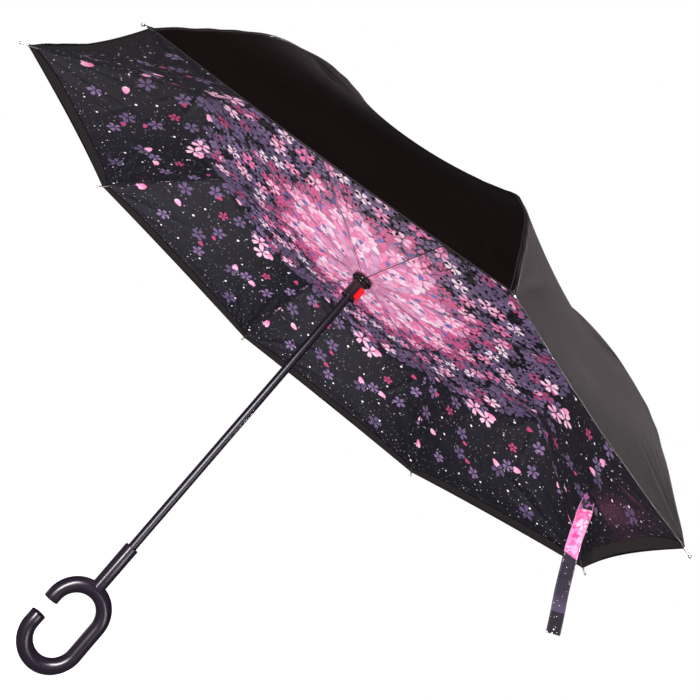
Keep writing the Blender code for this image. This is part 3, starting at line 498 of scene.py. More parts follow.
class Net:
    """A node tree, and short ways to add to it."""

    def __init__(self, tree):
        self.tree = tree

    def node(self, kind, **settings):
        made = self.tree.nodes.new(kind)
        for name, value in settings.items():
            setattr(made, name, value)
        return made

    def feed(self, socket, value):
        if isinstance(value, bpy.types.NodeSocket):
            self.tree.links.new(value, socket)
        elif value is not None:
            socket.default_value = value

    def fill(self, node, values):
        """Feeds a node's inputs, given by name, with sockets or plain values."""
        for label, value in values.items():
            self.feed(node.inputs[label], value)

    def calc(self, operation, *values, clamp=False):
        made = self.node("ShaderNodeMath", operation=operation, use_clamp=clamp)
        for socket, value in zip(made.inputs, values):
            self.feed(socket, value)
        return made.outputs[0]

    def times(self, a, b):
        return self.calc("MULTIPLY", a, b)

    def plus(self, a, b, clamp=False):
        return self.calc("ADD", a, b, clamp=clamp)

    def minus(self, a, b):
        return self.calc("SUBTRACT", a, b)

    def over(self, a, b):
        return self.calc("DIVIDE", a, b)

    def length(self, x, y):
        return self.calc("SQRT", self.plus(self.times(x, x), self.times(y, y)))

    def vector(self, operation, *values):
        made = self.node("ShaderNodeVectorMath", operation=operation)
        sockets = [made.inputs["Scale"]] if operation == "SCALE" else list(made.inputs)[1:]
        self.feed(made.inputs[0], values[0])
        for socket, value in zip(sockets, values[1:]):
            self.feed(socket, value)
        return made.outputs["Value" if operation in ("LENGTH", "DISTANCE", "DOT_PRODUCT") else "Vector"]

    def scaled(self, vector, size):
        return self.vector("SCALE", vector, size)

    def mix(self, share, a, b, blend="MIX"):
        made = self.node("ShaderNodeMix", data_type="RGBA", blend_type=blend)
        self.feed(made.inputs[0], share)
        self.feed(made.inputs[6], a)
        self.feed(made.inputs[7], b)
        return made.outputs[2]

    def span(self, value, low, high, to_low=0.0, to_high=1.0):
        made = self.node("ShaderNodeMapRange", interpolation_type="SMOOTHSTEP")
        for socket, number in zip(made.inputs, (value, low, high, to_low, to_high)):
            self.feed(socket, number)
        return made.outputs[0]

    def split(self, vector):
        made = self.node("ShaderNodeSeparateXYZ")
        self.feed(made.inputs[0], vector)
        return made.outputs

    def join(self, x, y, z=0.0):
        made = self.node("ShaderNodeCombineXYZ")
        for socket, value in zip(made.inputs, (x, y, z)):
            self.feed(socket, value)
        return made.outputs[0]

    def noise(self, place, scale, detail=2.0, rough=0.5):
        made = self.node("ShaderNodeTexNoise")
        self.fill(made, {"Vector": place, "Scale": scale, "Detail": detail, "Roughness": rough})
        return made.outputs["Fac"]

    def use(self, group, **values):
        made = self.node("ShaderNodeGroup", node_tree=group)
        for name, value in values.items():
            self.feed(made.inputs[name.replace("_", " ").title()], value)
        return made.outputs


def repeat_tree(name, inputs):
    """An empty geometry tree with named sizes: its net, what it is given and what it makes."""
    tree = bpy.data.node_groups.new(name, "GeometryNodeTree")
    tree.interface.new_socket(name="Places", in_out="INPUT", socket_type="NodeSocketGeometry")
    for label, value in inputs:
        made = tree.interface.new_socket(name=label, in_out="INPUT", socket_type="NodeSocketFloat")
        made.default_value = value
    tree.interface.new_socket(name="Pieces", in_out="OUTPUT", socket_type="NodeSocketGeometry")
    net = Net(tree)
    return tree, net, net.node("NodeGroupInput").outputs, net.node("NodeGroupOutput").inputs


def finish_repeat(net, made, points, shape, aim, finish):
    """Puts a shape at each point, turned as aim says, and gives the real meshes their finish."""
    put = net.node("GeometryNodeInstanceOnPoints")
    net.fill(put, {"Points": points, "Instance": shape, "Rotation": aim})
    real = net.node("GeometryNodeRealizeInstances")
    net.feed(real.inputs["Geometry"], put.outputs["Instances"])
    dress = net.node("GeometryNodeSetMaterial")
    net.fill(dress, {"Geometry": real.outputs["Geometry"], "Material": finish})
    net.feed(made["Pieces"], dress.outputs["Geometry"])


def stitch_tree(name, finish):
    """Stitches along a line of edges: short round-ended lengths of thread."""
    tree, net, given, made = repeat_tree(
        name, (("Spacing", 0.0040), ("Stitch Length", 0.0028), ("Thread Radius", 0.0003))
    )
    curve = net.node("GeometryNodeMeshToCurve")
    net.feed(curve.inputs["Mesh"], given["Places"])
    points = net.node("GeometryNodeResampleCurve", mode="LENGTH")
    net.fill(points, {"Curve": curve.outputs["Curve"], "Length": given["Spacing"]})
    thread = net.node("GeometryNodeMeshUVSphere")
    net.fill(thread, {"Segments": 6, "Rings": 4, "Radius": 1.0})
    shape = net.node("GeometryNodeTransform")
    half = net.times(given["Stitch Length"], 0.5)
    size = net.join(given["Thread Radius"], given["Thread Radius"], half)
    net.fill(shape, {"Geometry": thread.outputs["Mesh"], "Scale": size})
    aim = net.node("FunctionNodeAlignRotationToVector", axis="Z")
    net.feed(aim.inputs["Vector"], net.node("GeometryNodeInputTangent").outputs["Tangent"])
    turned_to = aim.outputs["Rotation"]
    finish_repeat(net, made, points.outputs["Curve"], shape.outputs["Geometry"], turned_to, finish)
    return tree


def hole_tree(name, finish):
    """Round punched holes at loose points, each facing the way its point says."""
    tree, net, given, made = repeat_tree(name, (("Hole Radius", 0.0023), ("Hole Depth", 0.0003)))
    disc = net.node("GeometryNodeMeshCylinder")
    net.fill(disc, {"Vertices": 10, "Radius": given["Hole Radius"], "Depth": given["Hole Depth"]})
    facing = net.node("GeometryNodeInputNamedAttribute", data_type="FLOAT_VECTOR")
    facing.inputs["Name"].default_value = "facing"
    aim = net.node("FunctionNodeAlignRotationToVector", axis="Z")
    net.feed(aim.inputs["Vector"], facing.outputs["Attribute"])
    finish_repeat(net, made, given["Places"], disc.outputs["Mesh"], aim.outputs["Rotation"], finish)
    return tree


def repeated(name, tree, finish, lines, facing=None, **sizes):
    """Runs a geometry tree along lines, or over loose points that face a way, as a plain mesh."""
    places, edges = [], []
    for line in lines:
        start = len(places)
        places += [tuple(p) for p in line]
        edges += [(start + k, start + k + 1) for k in range(len(line) - 1)]
    mesh = bpy.data.meshes.new(name)
    mesh.from_pydata(places, edges if facing is None else [], [])
    if facing is not None:
        way = mesh.attributes.new("facing", "FLOAT_VECTOR", "POINT")
        way.data.foreach_set("vector", np.asarray(facing, np.float32).ravel())
    made = new_object(name, mesh, finish)
    change = made.modifiers.new("repeat", "NODES")
    change.node_group = tree
    for socket in tree.interface.items_tree:
        label = socket.name.lower().replace(" ", "_")
        if socket.in_out == "INPUT" and label in sizes:
            change[socket.identifier] = sizes[label]
    settle(made)
    made.data.polygons.foreach_set("use_smooth", [facing is None] * len(made.data.polygons))
    return made


WEAVE_THREADS = 2300.0  # to the metre
SOCKETS = {"number": "NodeSocketFloat", "vector": "NodeSocketVector", "colour": "NodeSocketColor"}


def group(name, inputs, outputs):
    """An empty shader group with named sockets: its net, the sockets to read and the node to feed."""
    tree = bpy.data.node_groups.new(name, "ShaderNodeTree")
    for label, kind, value in inputs:
        made = tree.interface.new_socket(name=label, in_out="INPUT", socket_type=SOCKETS[kind])
        if value is not None:
            made.default_value = value
    for label, kind in outputs:
        tree.interface.new_socket(name=label, in_out="OUTPUT", socket_type=SOCKETS[kind])
    net = Net(tree)
    return tree, net, net.node("NodeGroupInput").outputs, net.node("NodeGroupOutput").inputs


def scatter(net, given):
    """What the printed shapes share: a place in its cell, chance, whether it is filled and its size."""
    spread = net.vector("DIVIDE", given["Place"], net.join(given["Cell"], given["Cell"], 1.0))
    spread = net.vector("ADD", spread, given["Shift"])
    cells = net.node("ShaderNodeTexVoronoi", voronoi_dimensions="2D")
    net.feed(cells.inputs["Vector"], spread)
    cells.inputs["Scale"].default_value = 1.0
    net.feed(cells.inputs["Randomness"], given["Jitter"])
    local = net.split(net.vector("SUBTRACT", spread, cells.outputs["Position"]))
    middle = net.split(net.vector("SUBTRACT", cells.outputs["Position"], given["Shift"]))
    radius = net.times(middle[1], given["Cell"])
    chance = net.node("ShaderNodeSeparateColor")
    net.feed(chance.inputs[0], cells.outputs["Color"])
    near = net.span(radius, given["Near"], net.plus(given["Near"], given["Fade"]))
    far = net.span(radius, net.minus(given["Far"], given["Fade"]), given["Far"], 1.0, 0.0)
    filled = net.times(net.times(near, far), given["Fullness"])
    shown = net.calc("LESS_THAN", chance.outputs[2], filled)
    size = net.minus(1.0, net.times(given["Vary"], chance.outputs[1]))
    return local, chance.outputs, shown, net.times(size, given["Reach"])


SCATTER_INPUTS = [
    ("Place", "vector", None),
    ("Cell", "number", 30.0),
    ("Jitter", "number", 0.8),
    ("Shift", "vector", None),
    ("Near", "number", 0.0),
    ("Far", "number", 500.0),
    ("Fade", "number", 30.0),
    ("Fullness", "number", 1.0),
    ("Reach", "number", 0.42),
    ("Vary", "number", 0.3),
]


def blossom_group():
    """Five-petalled blossoms with notched petals, one to a cell. Place and Cell are in millimetres."""
    tree, net, given, made = group(
        "printed_blossoms", SCATTER_INPUTS, [("Mask", "number"), ("Tone", "number"), ("Heart", "number")]
    )
    local, chance, shown, size = scatter(net, given)
    turn = net.times(chance[0], math.tau)
    angle = net.plus(net.calc("ARCTAN2", local[1], local[0]), turn)
    sector = net.calc("FRACT", net.plus(net.times(angle, 5 / math.tau), 10.0))
    lean = net.times(net.minus(sector, 0.5), math.tau / 5)
    share = net.over(net.length(local[0], local[1]), size)
    long = net.times(share, net.calc("COSINE", lean))
    wide = net.calc("ABSOLUTE", net.times(share, net.calc("SINE", lean)))
    along = net.over(net.minus(long, 0.57), 0.45)
    room = net.plus(0.11, net.times(long, 0.24))
    aside = net.over(wide, room)
    gap = net.minus(1.0, net.plus(net.times(along, along), net.times(aside, aside)))
    notch = net.minus(net.times(net.minus(long, 0.80), 0.62), wide)
    gap = net.minus(gap, net.times(net.calc("MAXIMUM", notch, 0.0), 14.0))
    mask = net.span(gap, -0.08, 0.16)
    net.feed(made["Mask"], net.times(mask, shown))
    net.feed(made["Tone"], chance[1])
    net.feed(made["Heart"], net.span(share, 0.05, 0.75, 1.0, 0.0))
    return tree


def petal_group():
    """Single loose petals. Slim makes them narrow, Turn is how far they may turn from the gore's run."""
    tree, net, given, made = group(
        "printed_petals",
        SCATTER_INPUTS + [("Slim", "number", 0.6), ("Turn", "number", math.tau)],
        [("Mask", "number"), ("Tone", "number"), ("Heart", "number")],
    )
    local, chance, shown, size = scatter(net, given)
    turn = net.times(net.minus(chance[0], 0.5), given["Turn"])
    cosine, sine = net.calc("COSINE", turn), net.calc("SINE", turn)
    long = net.plus(net.times(local[1], cosine), net.times(local[0], sine))
    wide = net.minus(net.times(local[0], cosine), net.times(local[1], sine))
    long = net.over(long, size)
    wide = net.calc("ABSOLUTE", net.over(wide, net.times(size, given["Slim"])))
    taper = net.plus(1.0, net.times(net.minus(0.0, long), 0.35))
    wide = net.times(wide, taper)
    away = net.length(long, wide)
    notch = net.minus(net.times(net.minus(long, 0.55), 0.9), wide)
    gap = net.minus(net.minus(1.0, away), net.times(net.calc("MAXIMUM", notch, 0.0), 4.0))
    mask = net.span(gap, -0.02, 0.10)
    net.feed(made["Mask"], net.times(mask, shown))
    net.feed(made["Tone"], chance[1])
    net.feed(made["Heart"], net.span(long, -0.9, 0.9))
    return tree


def speck_group():
    """Small round stars."""
    tree, net, given, made = group("printed_stars", SCATTER_INPUTS, [("Mask", "number")])
    local, _, shown, size = scatter(net, given)
    mask = net.span(net.over(net.length(local[0], local[1]), size), 0.75, 1.1, 1.0, 0.0)
    net.feed(made["Mask"], net.times(mask, shown))
    return tree


def weave_group():
    """A plain weave: the height of its threads, and a faint change of tone from thread to thread."""
    tree, net, given, made = group(
        "plain_weave",
        [("Place", "vector", None), ("Threads", "number", WEAVE_THREADS)],
        [("Height", "number"), ("Tone", "number")],
    )
    along = net.split(net.scaled(given["Place"], given["Threads"]))
    warp = net.calc("SINE", net.times(along[0], math.tau))
    weft = net.calc("SINE", net.times(along[1], math.tau))
    height = net.times(net.times(warp, weft), 0.5)
    slub = net.noise(net.vector("MULTIPLY", given["Place"], (900.0, 60.0, 60.0)), 1.0, 2.0)
    cross = net.noise(net.vector("MULTIPLY", given["Place"], (60.0, 900.0, 60.0)), 1.0, 2.0)
    net.feed(made["Height"], net.plus(height, net.plus(slub, cross)))
    net.feed(made["Tone"], net.times(net.plus(slub, cross), 0.5))
    return tree


def wear_group():
    """Where an edge is rubbed: a mask from how sharply the surface turns, broken up by noise."""
    tree, net, given, made = group(
        "rubbed_edges",
        [("Place", "vector", None), ("Amount", "number", 0.5), ("Size", "number", 500.0)],
        [("Mask", "number")],
    )
    sharp = net.node("ShaderNodeNewGeometry").outputs["Pointiness"]
    edge = net.span(sharp, 0.52, 0.60)
    broken = net.span(net.noise(given["Place"], given["Size"]), 0.42, 0.62)
    net.feed(made["Mask"], net.times(net.times(edge, broken), given["Amount"]))
    return tree


def grain_group():
    """Fine moulded grain and handling marks: a height for bump and a change of roughness."""
    tree, net, given, made = group(
        "moulded_grain",
        [("Place", "vector", None), ("Fineness", "number", 2200.0)],
        [("Height", "number"), ("Smudge", "number")],
    )
    broad = net.noise(given["Place"], 70.0, 4.0, 0.6)
    net.feed(made["Height"], net.noise(given["Place"], given["Fineness"]))
    net.feed(made["Smudge"], net.minus(broad, 0.5))
    return tree


def dust_group():
    """A light dust on what faces up, broken up by noise."""
    tree, net, given, made = group(
        "settled_dust", [("Place", "vector", None), ("Amount", "number", 0.1)], [("Mask", "number")]
    )
    up = net.split(net.node("ShaderNodeNewGeometry").outputs["Normal"])[2]
    spots = net.span(net.noise(given["Place"], 160.0, 5.0, 0.7), 0.40, 0.75)
    face = net.span(up, 0.1, 0.9)
    net.feed(made["Mask"], net.times(net.times(spots, face), given["Amount"]))
    return tree


BLOSSOMS = blossom_group()
PETALS = petal_group()
STARS = speck_group()
WEAVE = weave_group()
WEAR = wear_group()
GRAIN = grain_group()
DUST = dust_group()


def rgb(red, green, blue):
    """A printed colour, given as it shows on a screen, as the shader reads it."""
    values = [v / 255 for v in (red, green, blue)]
    return (*[v / 12.92 if v <= 0.04045 else ((v + 0.055) / 1.055) ** 2.4 for v in values], 1.0)


NAVY = rgb(13, 10, 24)
NAVY_HAZE = rgb(21, 17, 34)
LILAC = rgb(142, 112, 160)
LILAC_DEEP = rgb(94, 74, 114)
MAUVE = rgb(176, 122, 176)
MAGENTA = rgb(192, 58, 122)
PINK = rgb(250, 112, 172)
ROSE = rgb(228, 70, 134)
PALE = rgb(255, 188, 222)
WHITE = rgb(255, 242, 251)
SKY = rgb(20, 98, 184)
HAIR = 0.0001  # how far a print's place is drawn by the colour under it, too little to be seen


def print_group():
    """The inner canopy's print, the same on each gore, from the gore's own plan in millimetres."""
    tree, net, given, made = group(
        "canopy_print", [("Place", "vector", None)], [("Color", "colour"), ("Ink", "number")]
    )
    place = given["Place"]
    haze = net.noise(net.scaled(place, 0.02), 1.0, 3.0)
    state = {"colour": net.mix(net.span(haze, 0.35, 0.75), NAVY, NAVY_HAZE), "ink": None}

    def lay(mask, colour, strength=1.0):
        share = net.times(mask, strength) if strength != 1.0 else mask
        state["colour"] = net.mix(share, state["colour"], colour)
        state["ink"] = share if state["ink"] is None else net.calc("MAXIMUM", state["ink"], share)

    def below(stretch=1.0):
        """The place, drawn through the layer below it, so that the layers are worked out one by one."""
        drawn = net.vector("ADD", place, net.scaled(state["colour"], HAIR))
        return net.vector("MULTIPLY", drawn, (stretch, 1.0, 1.0)) if stretch != 1.0 else drawn

    def stars(shift, **spread):
        spread = {"jitter": 1.0, "far": 600.0, **spread}
        return net.use(STARS, place=below(), shift=(shift, 0.41 * shift, 0.0), **spread)["Mask"]

    def strew(kind, shift, low, high, heart=None, share=1.0, strength=1.0, stretch=1.0, **spread):
        """Lays flowers or petals over what is printed so far, with hearts of their own colour."""
        spread = {"jitter": 1.0, "near": -20.0, **spread}
        skew = 0.37 if kind == BLOSSOMS else 0.53
        found = net.use(kind, place=below(stretch), shift=(shift, skew * shift, 0.0), **spread)
        colour = net.mix(found["Tone"], low, high)
        if heart:
            colour = net.mix(net.times(found["Heart"], share), colour, heart)
        lay(found["Mask"], colour, strength)

    clumps = net.span(net.noise(net.scaled(place, 0.022), 1.0, 2.0), 0.38, 0.60, 0.35, 1.0)
    small = stars(3.1, cell=8.5, near=150.0, fade=60.0, fullness=0.42, reach=0.085, vary=0.5)
    lay(net.times(small, clumps), rgb(240, 232, 248))
    lay(stars(5.3, cell=19.0, near=180.0, fade=40.0, fullness=0.36, reach=0.066, vary=0.4), WHITE)
    lay(stars(9.4, cell=46.0, near=210.0, fade=30.0, fullness=0.50, reach=0.056, vary=0.4), WHITE)
    for shift, cell, near, far, full in (
        (1.3, 29.0, 120.0, 340.0, 0.88),
        (5.9, 24.0, 140.0, 324.0, 0.84),
        (8.2, 34.0, 150.0, 356.0, 0.82),
    ):
        strew(BLOSSOMS, shift, LILAC_DEEP, LILAC, LILAC_DEEP, 0.55, 0.92, cell=cell, near=near, far=far,
              fade=46.0, fullness=full, reach=0.54, vary=0.3)
    strew(BLOSSOMS, 12.6, MAGENTA, ROSE, rgb(120, 40, 90), 0.5, 0.92, cell=36.0, near=150.0, far=338.0,
          fade=60.0, fullness=0.55, reach=0.36, vary=0.35)
    for shift, cell, far, low, high in ((4.4, 27.0, 232.0, MAGENTA, ROSE), (7.1, 22.0, 205.0, ROSE, PINK)):
        strew(BLOSSOMS, shift, low, high, MAGENTA, 0.35, 0.95, cell=cell, far=far, fade=80.0, fullness=0.9,
              reach=0.52, vary=0.3)
    wash = net.noise(net.vector("MULTIPLY", below(), (0.085, 0.022, 0.0)), 1.0, 4.0, 0.62)
    ragged = net.plus(net.split(place)[1], net.times(wash, 150.0))
    lay(net.span(ragged, 172.0, 246.0, 1.0, 0.0), net.mix(net.span(wash, 0.36, 0.60), MAUVE, PINK), 0.80)
    for shift, cell, far, low, high, full, slim in (
        (6.6, 34.0, 200.0, ROSE, PINK, 0.88, 0.50),
        (10.9, 29.0, 204.0, MAUVE, PALE, 0.75, 0.52),
        (15.7, 27.0, 208.0, MAGENTA, ROSE, 0.70, 0.42),
        (13.8, 38.0, 172.0, PALE, WHITE, 0.86, 0.50),
        (17.3, 23.0, 150.0, ROSE, PALE, 0.70, 0.40),
    ):
        strew(PETALS, shift, low, high, high, 0.55, 0.93, 1.25, cell=cell, far=far, fade=60.0, fullness=full,
              reach=0.55, vary=0.35, slim=slim, turn=1.9)
    lay(net.span(ragged, 95.0, 205.0, 0.11, 0.0), rgb(255, 196, 230))
    gap = rgb(60, 36, 88)
    strew(PETALS, 18.4, gap, gap, strength=0.9, stretch=1.3, cell=19.0, near=30.0, far=240.0, fade=30.0,
          fullness=0.52, reach=0.21, vary=0.5, slim=0.45, turn=1.6)
    strew(BLOSSOMS, 24.9, PINK, PALE, ROSE, 0.45, cell=47.0, near=30.0, far=262.0, fade=30.0, fullness=0.62,
          reach=0.36, vary=0.3)
    for shift, cell, near, far, full in ((21.5, 56.0, 30.0, 290.0, 0.68), (26.1, 62.0, 262.0, 362.0, 0.56)):
        strew(BLOSSOMS, shift, PALE, WHITE, PINK, 0.4, cell=cell, jitter=0.9, near=near, far=far, fade=22.0,
              fullness=full, reach=0.29, vary=0.2)
    strew(PETALS, 19.2, SKY, rgb(18, 66, 146), stretch=1.2, cell=27.0, near=-5.0, far=170.0, fade=18.0,
          fullness=0.62, reach=0.32, vary=0.4, slim=0.60, turn=2.4)
    strew(BLOSSOMS, 23.4, LILAC_DEEP, LILAC, LILAC_DEEP, 0.45, cell=60.0, jitter=0.85, near=318.0, far=520.0,
          fade=20.0, fullness=0.66, reach=0.25, vary=0.25)
    strew(BLOSSOMS, 28.8, MAGENTA, ROSE, strength=0.85, cell=80.0, jitter=0.9, near=300.0, far=430.0,
          fade=20.0, fullness=0.42, reach=0.135, vary=0.3)
    strew(PETALS, 31.9, PINK, PALE, PALE, cell=66.0, jitter=0.9, near=230.0, far=500.0, fade=20.0,
          fullness=0.55, reach=0.15, vary=0.35, slim=0.66, turn=math.tau)
    strew(PETALS, 35.3, MAGENTA, ROSE, strength=0.85, cell=72.0, jitter=0.95, near=260.0, far=500.0,
          fade=20.0, fullness=0.4, reach=0.10, vary=0.3, slim=0.6, turn=math.tau)
    net.feed(made["Color"], state["colour"])
    net.feed(made["Ink"], state["ink"])
    return tree


PRINT = print_group()


def material(name):
    """A new material, its net and its shader."""
    made = bpy.data.materials.new(name)
    made.use_nodes = True
    net = Net(made.node_tree)
    shader = made.node_tree.nodes["Principled BSDF"]
    return made, net, shader


def object_place(net):
    """Where a point lies on the piece itself, in metres."""
    return net.node("ShaderNodeTexCoord").outputs["Object"]


def bump(net, height, distance, strength=1.0, under=None):
    """A normal from a height, on top of another normal if one is given."""
    made = net.node("ShaderNodeBump")
    net.fill(made, {"Strength": strength, "Distance": distance, "Height": height, "Normal": under})
    return made.outputs[0]


def cloth_finish(net, shader, place, sheen, sheen_tint, gloss):
    """What all the umbrella's cloth shares: weave, soft crumple, a sheen, and a seam over each rib with
    painted shade in its groove.
    """
    weave = net.use(WEAVE, place=place)
    crumple = net.noise(net.scaled(place, 22.0), 1.0, 4.0, 0.55)
    off_rib = net.node("ShaderNodeAttribute", attribute_name="from_rib").outputs["Fac"]
    seam_groove_and_shade = net.span(off_rib, 0.0003, 0.0011)
    lap = net.span(off_rib, 0.0050, 0.0062, 1.0, 0.0)
    fine = bump(net, weave["Height"], 0.00006, 0.5)
    sewn = bump(net, net.plus(net.times(lap, 0.6), seam_groove_and_shade), 0.0006, 0.8, fine)
    net.feed(shader.inputs["Normal"], bump(net, crumple, 0.0012, 0.6, sewn))
    net.fill(shader, {"Sheen Weight": sheen, "Sheen Roughness": 0.45, "Sheen Tint": sheen_tint,
                      "Specular IOR Level": gloss})
    # The second value is painted shade: the colour darkens in the seam's groove over each rib
    return net.span(weave["Tone"], 0.3, 0.7, 0.90, 1.0), net.span(seam_groove_and_shade, 0.0, 1.0, 0.12, 1.0)


PAINTED_LIGHT_MIDDLE = (-0.02, -0.09, 0.0)  # the middle of a painted pool of light on the print, beside the runner


def printed_cloth():
    """The satin lining: the print, a little glossier where there is no ink, with a painted pool of light
    beside the runner.
    """
    made, net, shader = material("printed_inner_cloth")
    uv = net.node("ShaderNodeUVMap", uv_map="gore_plan").outputs[0]
    found = net.use(PRINT, place=net.scaled(uv, 1000.0))
    tone, seam = cloth_finish(net, shader, uv, 0.010, (0.85, 0.87, 1.0, 1.0), 0.50)
    level = net.vector("MULTIPLY", object_place(net), (1.0, 1.0, 0.0))
    # Painted light: the print turns paler towards a spot beside the runner, more so where there is ink
    painted_light_share = net.span(net.vector("DISTANCE", level, PAINTED_LIGHT_MIDDLE), 0.04, 0.21, 0.15, 0.0)
    painted_light_share = net.times(painted_light_share, net.span(found["Ink"], 0.0, 1.0, 0.25, 1.0))
    shade = net.mix(painted_light_share, found["Color"], rgb(255, 214, 240))
    # The weave's own tone, times the painted shade in the seam groove
    dim = net.times(tone, seam)
    shade = net.mix(1.0, shade, net.join(dim, dim, dim), "MULTIPLY")
    rough = net.span(found["Ink"], 0.0, 1.0, 0.44, 0.60)
    net.fill(shader, {"Base Color": shade, "Roughness": rough})
    return made


def plain_cloth(name, colour, sheen, sheen_tint, roughness):
    """Cloth of one colour, its roughness drifting a little."""
    made, net, shader = material(name)
    uv = net.node("ShaderNodeUVMap", uv_map="gore_plan").outputs[0]
    tone, seam = cloth_finish(net, shader, uv, sheen, sheen_tint, 0.06)
    drift = net.noise(net.scaled(uv, 9.0), 1.0, 3.0)
    # The weave's own tone, times the painted shade in the seam groove
    dim = net.times(tone, seam)
    shade = net.mix(1.0, colour, net.join(dim, dim, dim), "MULTIPLY")
    rough = net.span(drift, 0.3, 0.7, roughness - 0.05, roughness + 0.05)
    net.fill(shader, {"Base Color": shade, "Roughness": rough})
    return made


def hard(name, colour, roughness, metallic=0.0, coat=0.0, grain=0.00002, wear=(0.2, 0.2, 0.2, 1.0),
         worn=0.4, smudge=0.12, dusty=0.0):
    """A plastic, metal or lacquer finish with grain, rubbed edges and handling marks."""
    made, net, shader = material(name)
    place = object_place(net)
    skin = net.use(GRAIN, place=place)
    rubbed = net.use(WEAR, place=place, amount=worn)["Mask"]
    shade = net.mix(rubbed, colour, wear)
    if dusty:
        shade = net.mix(net.use(DUST, place=place, amount=dusty)["Mask"], shade, (0.22, 0.21, 0.20, 1.0))
    level = net.plus(net.times(skin["Smudge"], smudge), roughness)
    level = net.plus(level, net.times(rubbed, 0.15), clamp=True)
    net.fill(shader, {
        "Base Color": shade, "Roughness": level, "Metallic": metallic, "Coat Weight": coat,
        "Coat Roughness": 0.12, "Normal": bump(net, skin["Height"], grain, 0.6),
    })
    return made


INNER_CLOTH = printed_cloth()
OUTER_CLOTH = plain_cloth(
    "plain_outer_cloth", (0.0012, 0.0004, 0.0004, 1.0), 0.004, (1.0, 0.90, 0.95, 1.0), 0.55
)
HEM_CLOTH = plain_cloth("hem_cloth", (0.017, 0.014, 0.015, 1.0), 0.03, (0.95, 0.90, 0.90, 1.0), 0.75)
MOULDED = {"grain": 0.000002, "worn": 0.0, "smudge": 0.06}
HANDLE_PLASTIC = hard("handle_plastic", (0.009, 0.006, 0.012, 1.0), 0.26, **MOULDED)
SHAFT_METAL = hard("shaft_metal", (0.004, 0.003, 0.008, 1.0), 0.34, grain=0.000001, worn=0.0, smudge=0.04)
RUNNER_PLASTIC = hard("runner_plastic", (0.006, 0.004, 0.004, 1.0), 0.18, coat=0.4, **MOULDED)
RED_PLASTIC = hard("red_plastic", (0.95, 0.0006, 0.0006, 1.0), 0.40, coat=0.1, grain=0.000003, worn=0.0)
BLACK_PLASTIC = hard("black_plastic", (0.012, 0.012, 0.013, 1.0), 0.38, dusty=0.05)
BRIGHT = {"metallic": 1.0, "grain": 0.000005}
BRIGHT_STEEL = hard("bright_steel", (0.60, 0.59, 0.58, 1.0), 0.22, wear=(0.75, 0.74, 0.73, 1.0), **BRIGHT)
FRAME_STEEL = hard(
    "frame_steel", (0.030, 0.030, 0.034, 1.0), 0.42, metallic=0.7, wear=(0.30, 0.30, 0.31, 1.0)
)
ROD_FIBREGLASS = hard("rod_fibreglass", (0.020, 0.020, 0.022, 1.0), 0.40)
TIP_METAL = hard("tip_metal", (0.66, 0.62, 0.62, 1.0), 0.24, **BRIGHT)
HOLE_DARK = hard("perforation_dark", (0.0015, 0.0013, 0.0018, 1.0), 0.9, worn=0.0, smudge=0.0)
THREAD = {"grain": 0.00004, "worn": 0.0}
DARK_THREAD = hard("dark_thread", (0.020, 0.017, 0.020, 1.0), 0.75, **THREAD)
PALE_THREAD = hard("pale_thread", (0.20, 0.15, 0.21, 1.0), 0.75, **THREAD)
SEAM_STITCHES = stitch_tree("seam_stitches", DARK_THREAD)
STRAP_STITCHES = stitch_tree("strap_stitches", PALE_THREAD)
HOLES = hole_tree("vent_holes", HOLE_DARK)


# What each canopy piece is cut from, rides on and stands for
CANOPY = {
    "outer_crown": ("outer", OUTER_CLOTH, "upper_arm_body", "outer_canopy"),
    "outer_skirt": ("outer", OUTER_CLOTH, "rib_body", "outer_canopy"),
    "inner_crown": ("inner", INNER_CLOTH, "lower_arm_body", "inner_canopy"),
    "inner_skirt": ("inner", INNER_CLOTH, "rib_body", "inner_canopy"),
    "rim_hem": ("hem", HEM_CLOTH, "rib_body", "outer_canopy"),
}


def fit_cloth(made, label, rib):
    """Rides a canopy piece, or what is sewn to it, on its body."""
    layer, _, body, _ = CANOPY[label]
    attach(made, f"{body}_{rib + 1}")
    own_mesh(made)


def canopy_layer(name):
    """A layer's points, normals and plan, with its folds."""
    profile, rows, folds = {
        "outer": (outer_profile, OUTER_ROWS, outer_folds),
        "inner": (inner_profile, INNER_ROWS, inner_folds),
        "hem": (hem_profile, HEM_ROWS, None),
    }[name]
    points, across, way = cloth(profile, rows)
    normals = grid_normals(points)
    if folds:
        points = folds(points, normals, across, way)
        normals = grid_normals(points)
    return points, normals, across, way


def make_canopies():
    """Five cloth pieces for each rib, with their stitches and vent holes."""
    layers = {name: canopy_layer(name) for name in ("outer", "inner", "hem")}
    for rib in range(RIB_COUNT):
        for label, (name, finish, _, node) in CANOPY.items():
            points, normals, across, way = layers[name]
            part = int(np.searchsorted(np.hypot(points[0, :, 0], points[0, :, 1]), FOLD_R))
            last = len(way) - 1
            rows = {"crown": (0, part), "skirt": (part, last), "hem": (0, last)}[label.split("_")[1]]
            outward = 1 if name == "outer" else -1
            made, area, length = cloth_piece(
                f"{label}_{rib + 1}", points, normals, across, way, rib, rows, outward, finish
            )
            fit_cloth(made, label, rib)
            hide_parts(node)
            sew(label, layers[name], rib, rows, outward)
            if label == "inner_crown":
                punch(layers[name], rib)


def between(grid, at, row):
    """What a grid holds at a place between two of its columns."""
    low = math.floor(at)
    return (low + 1 - at) * grid[low % COLUMNS, row] + (at - low) * grid[(low + 1) % COLUMNS, row]


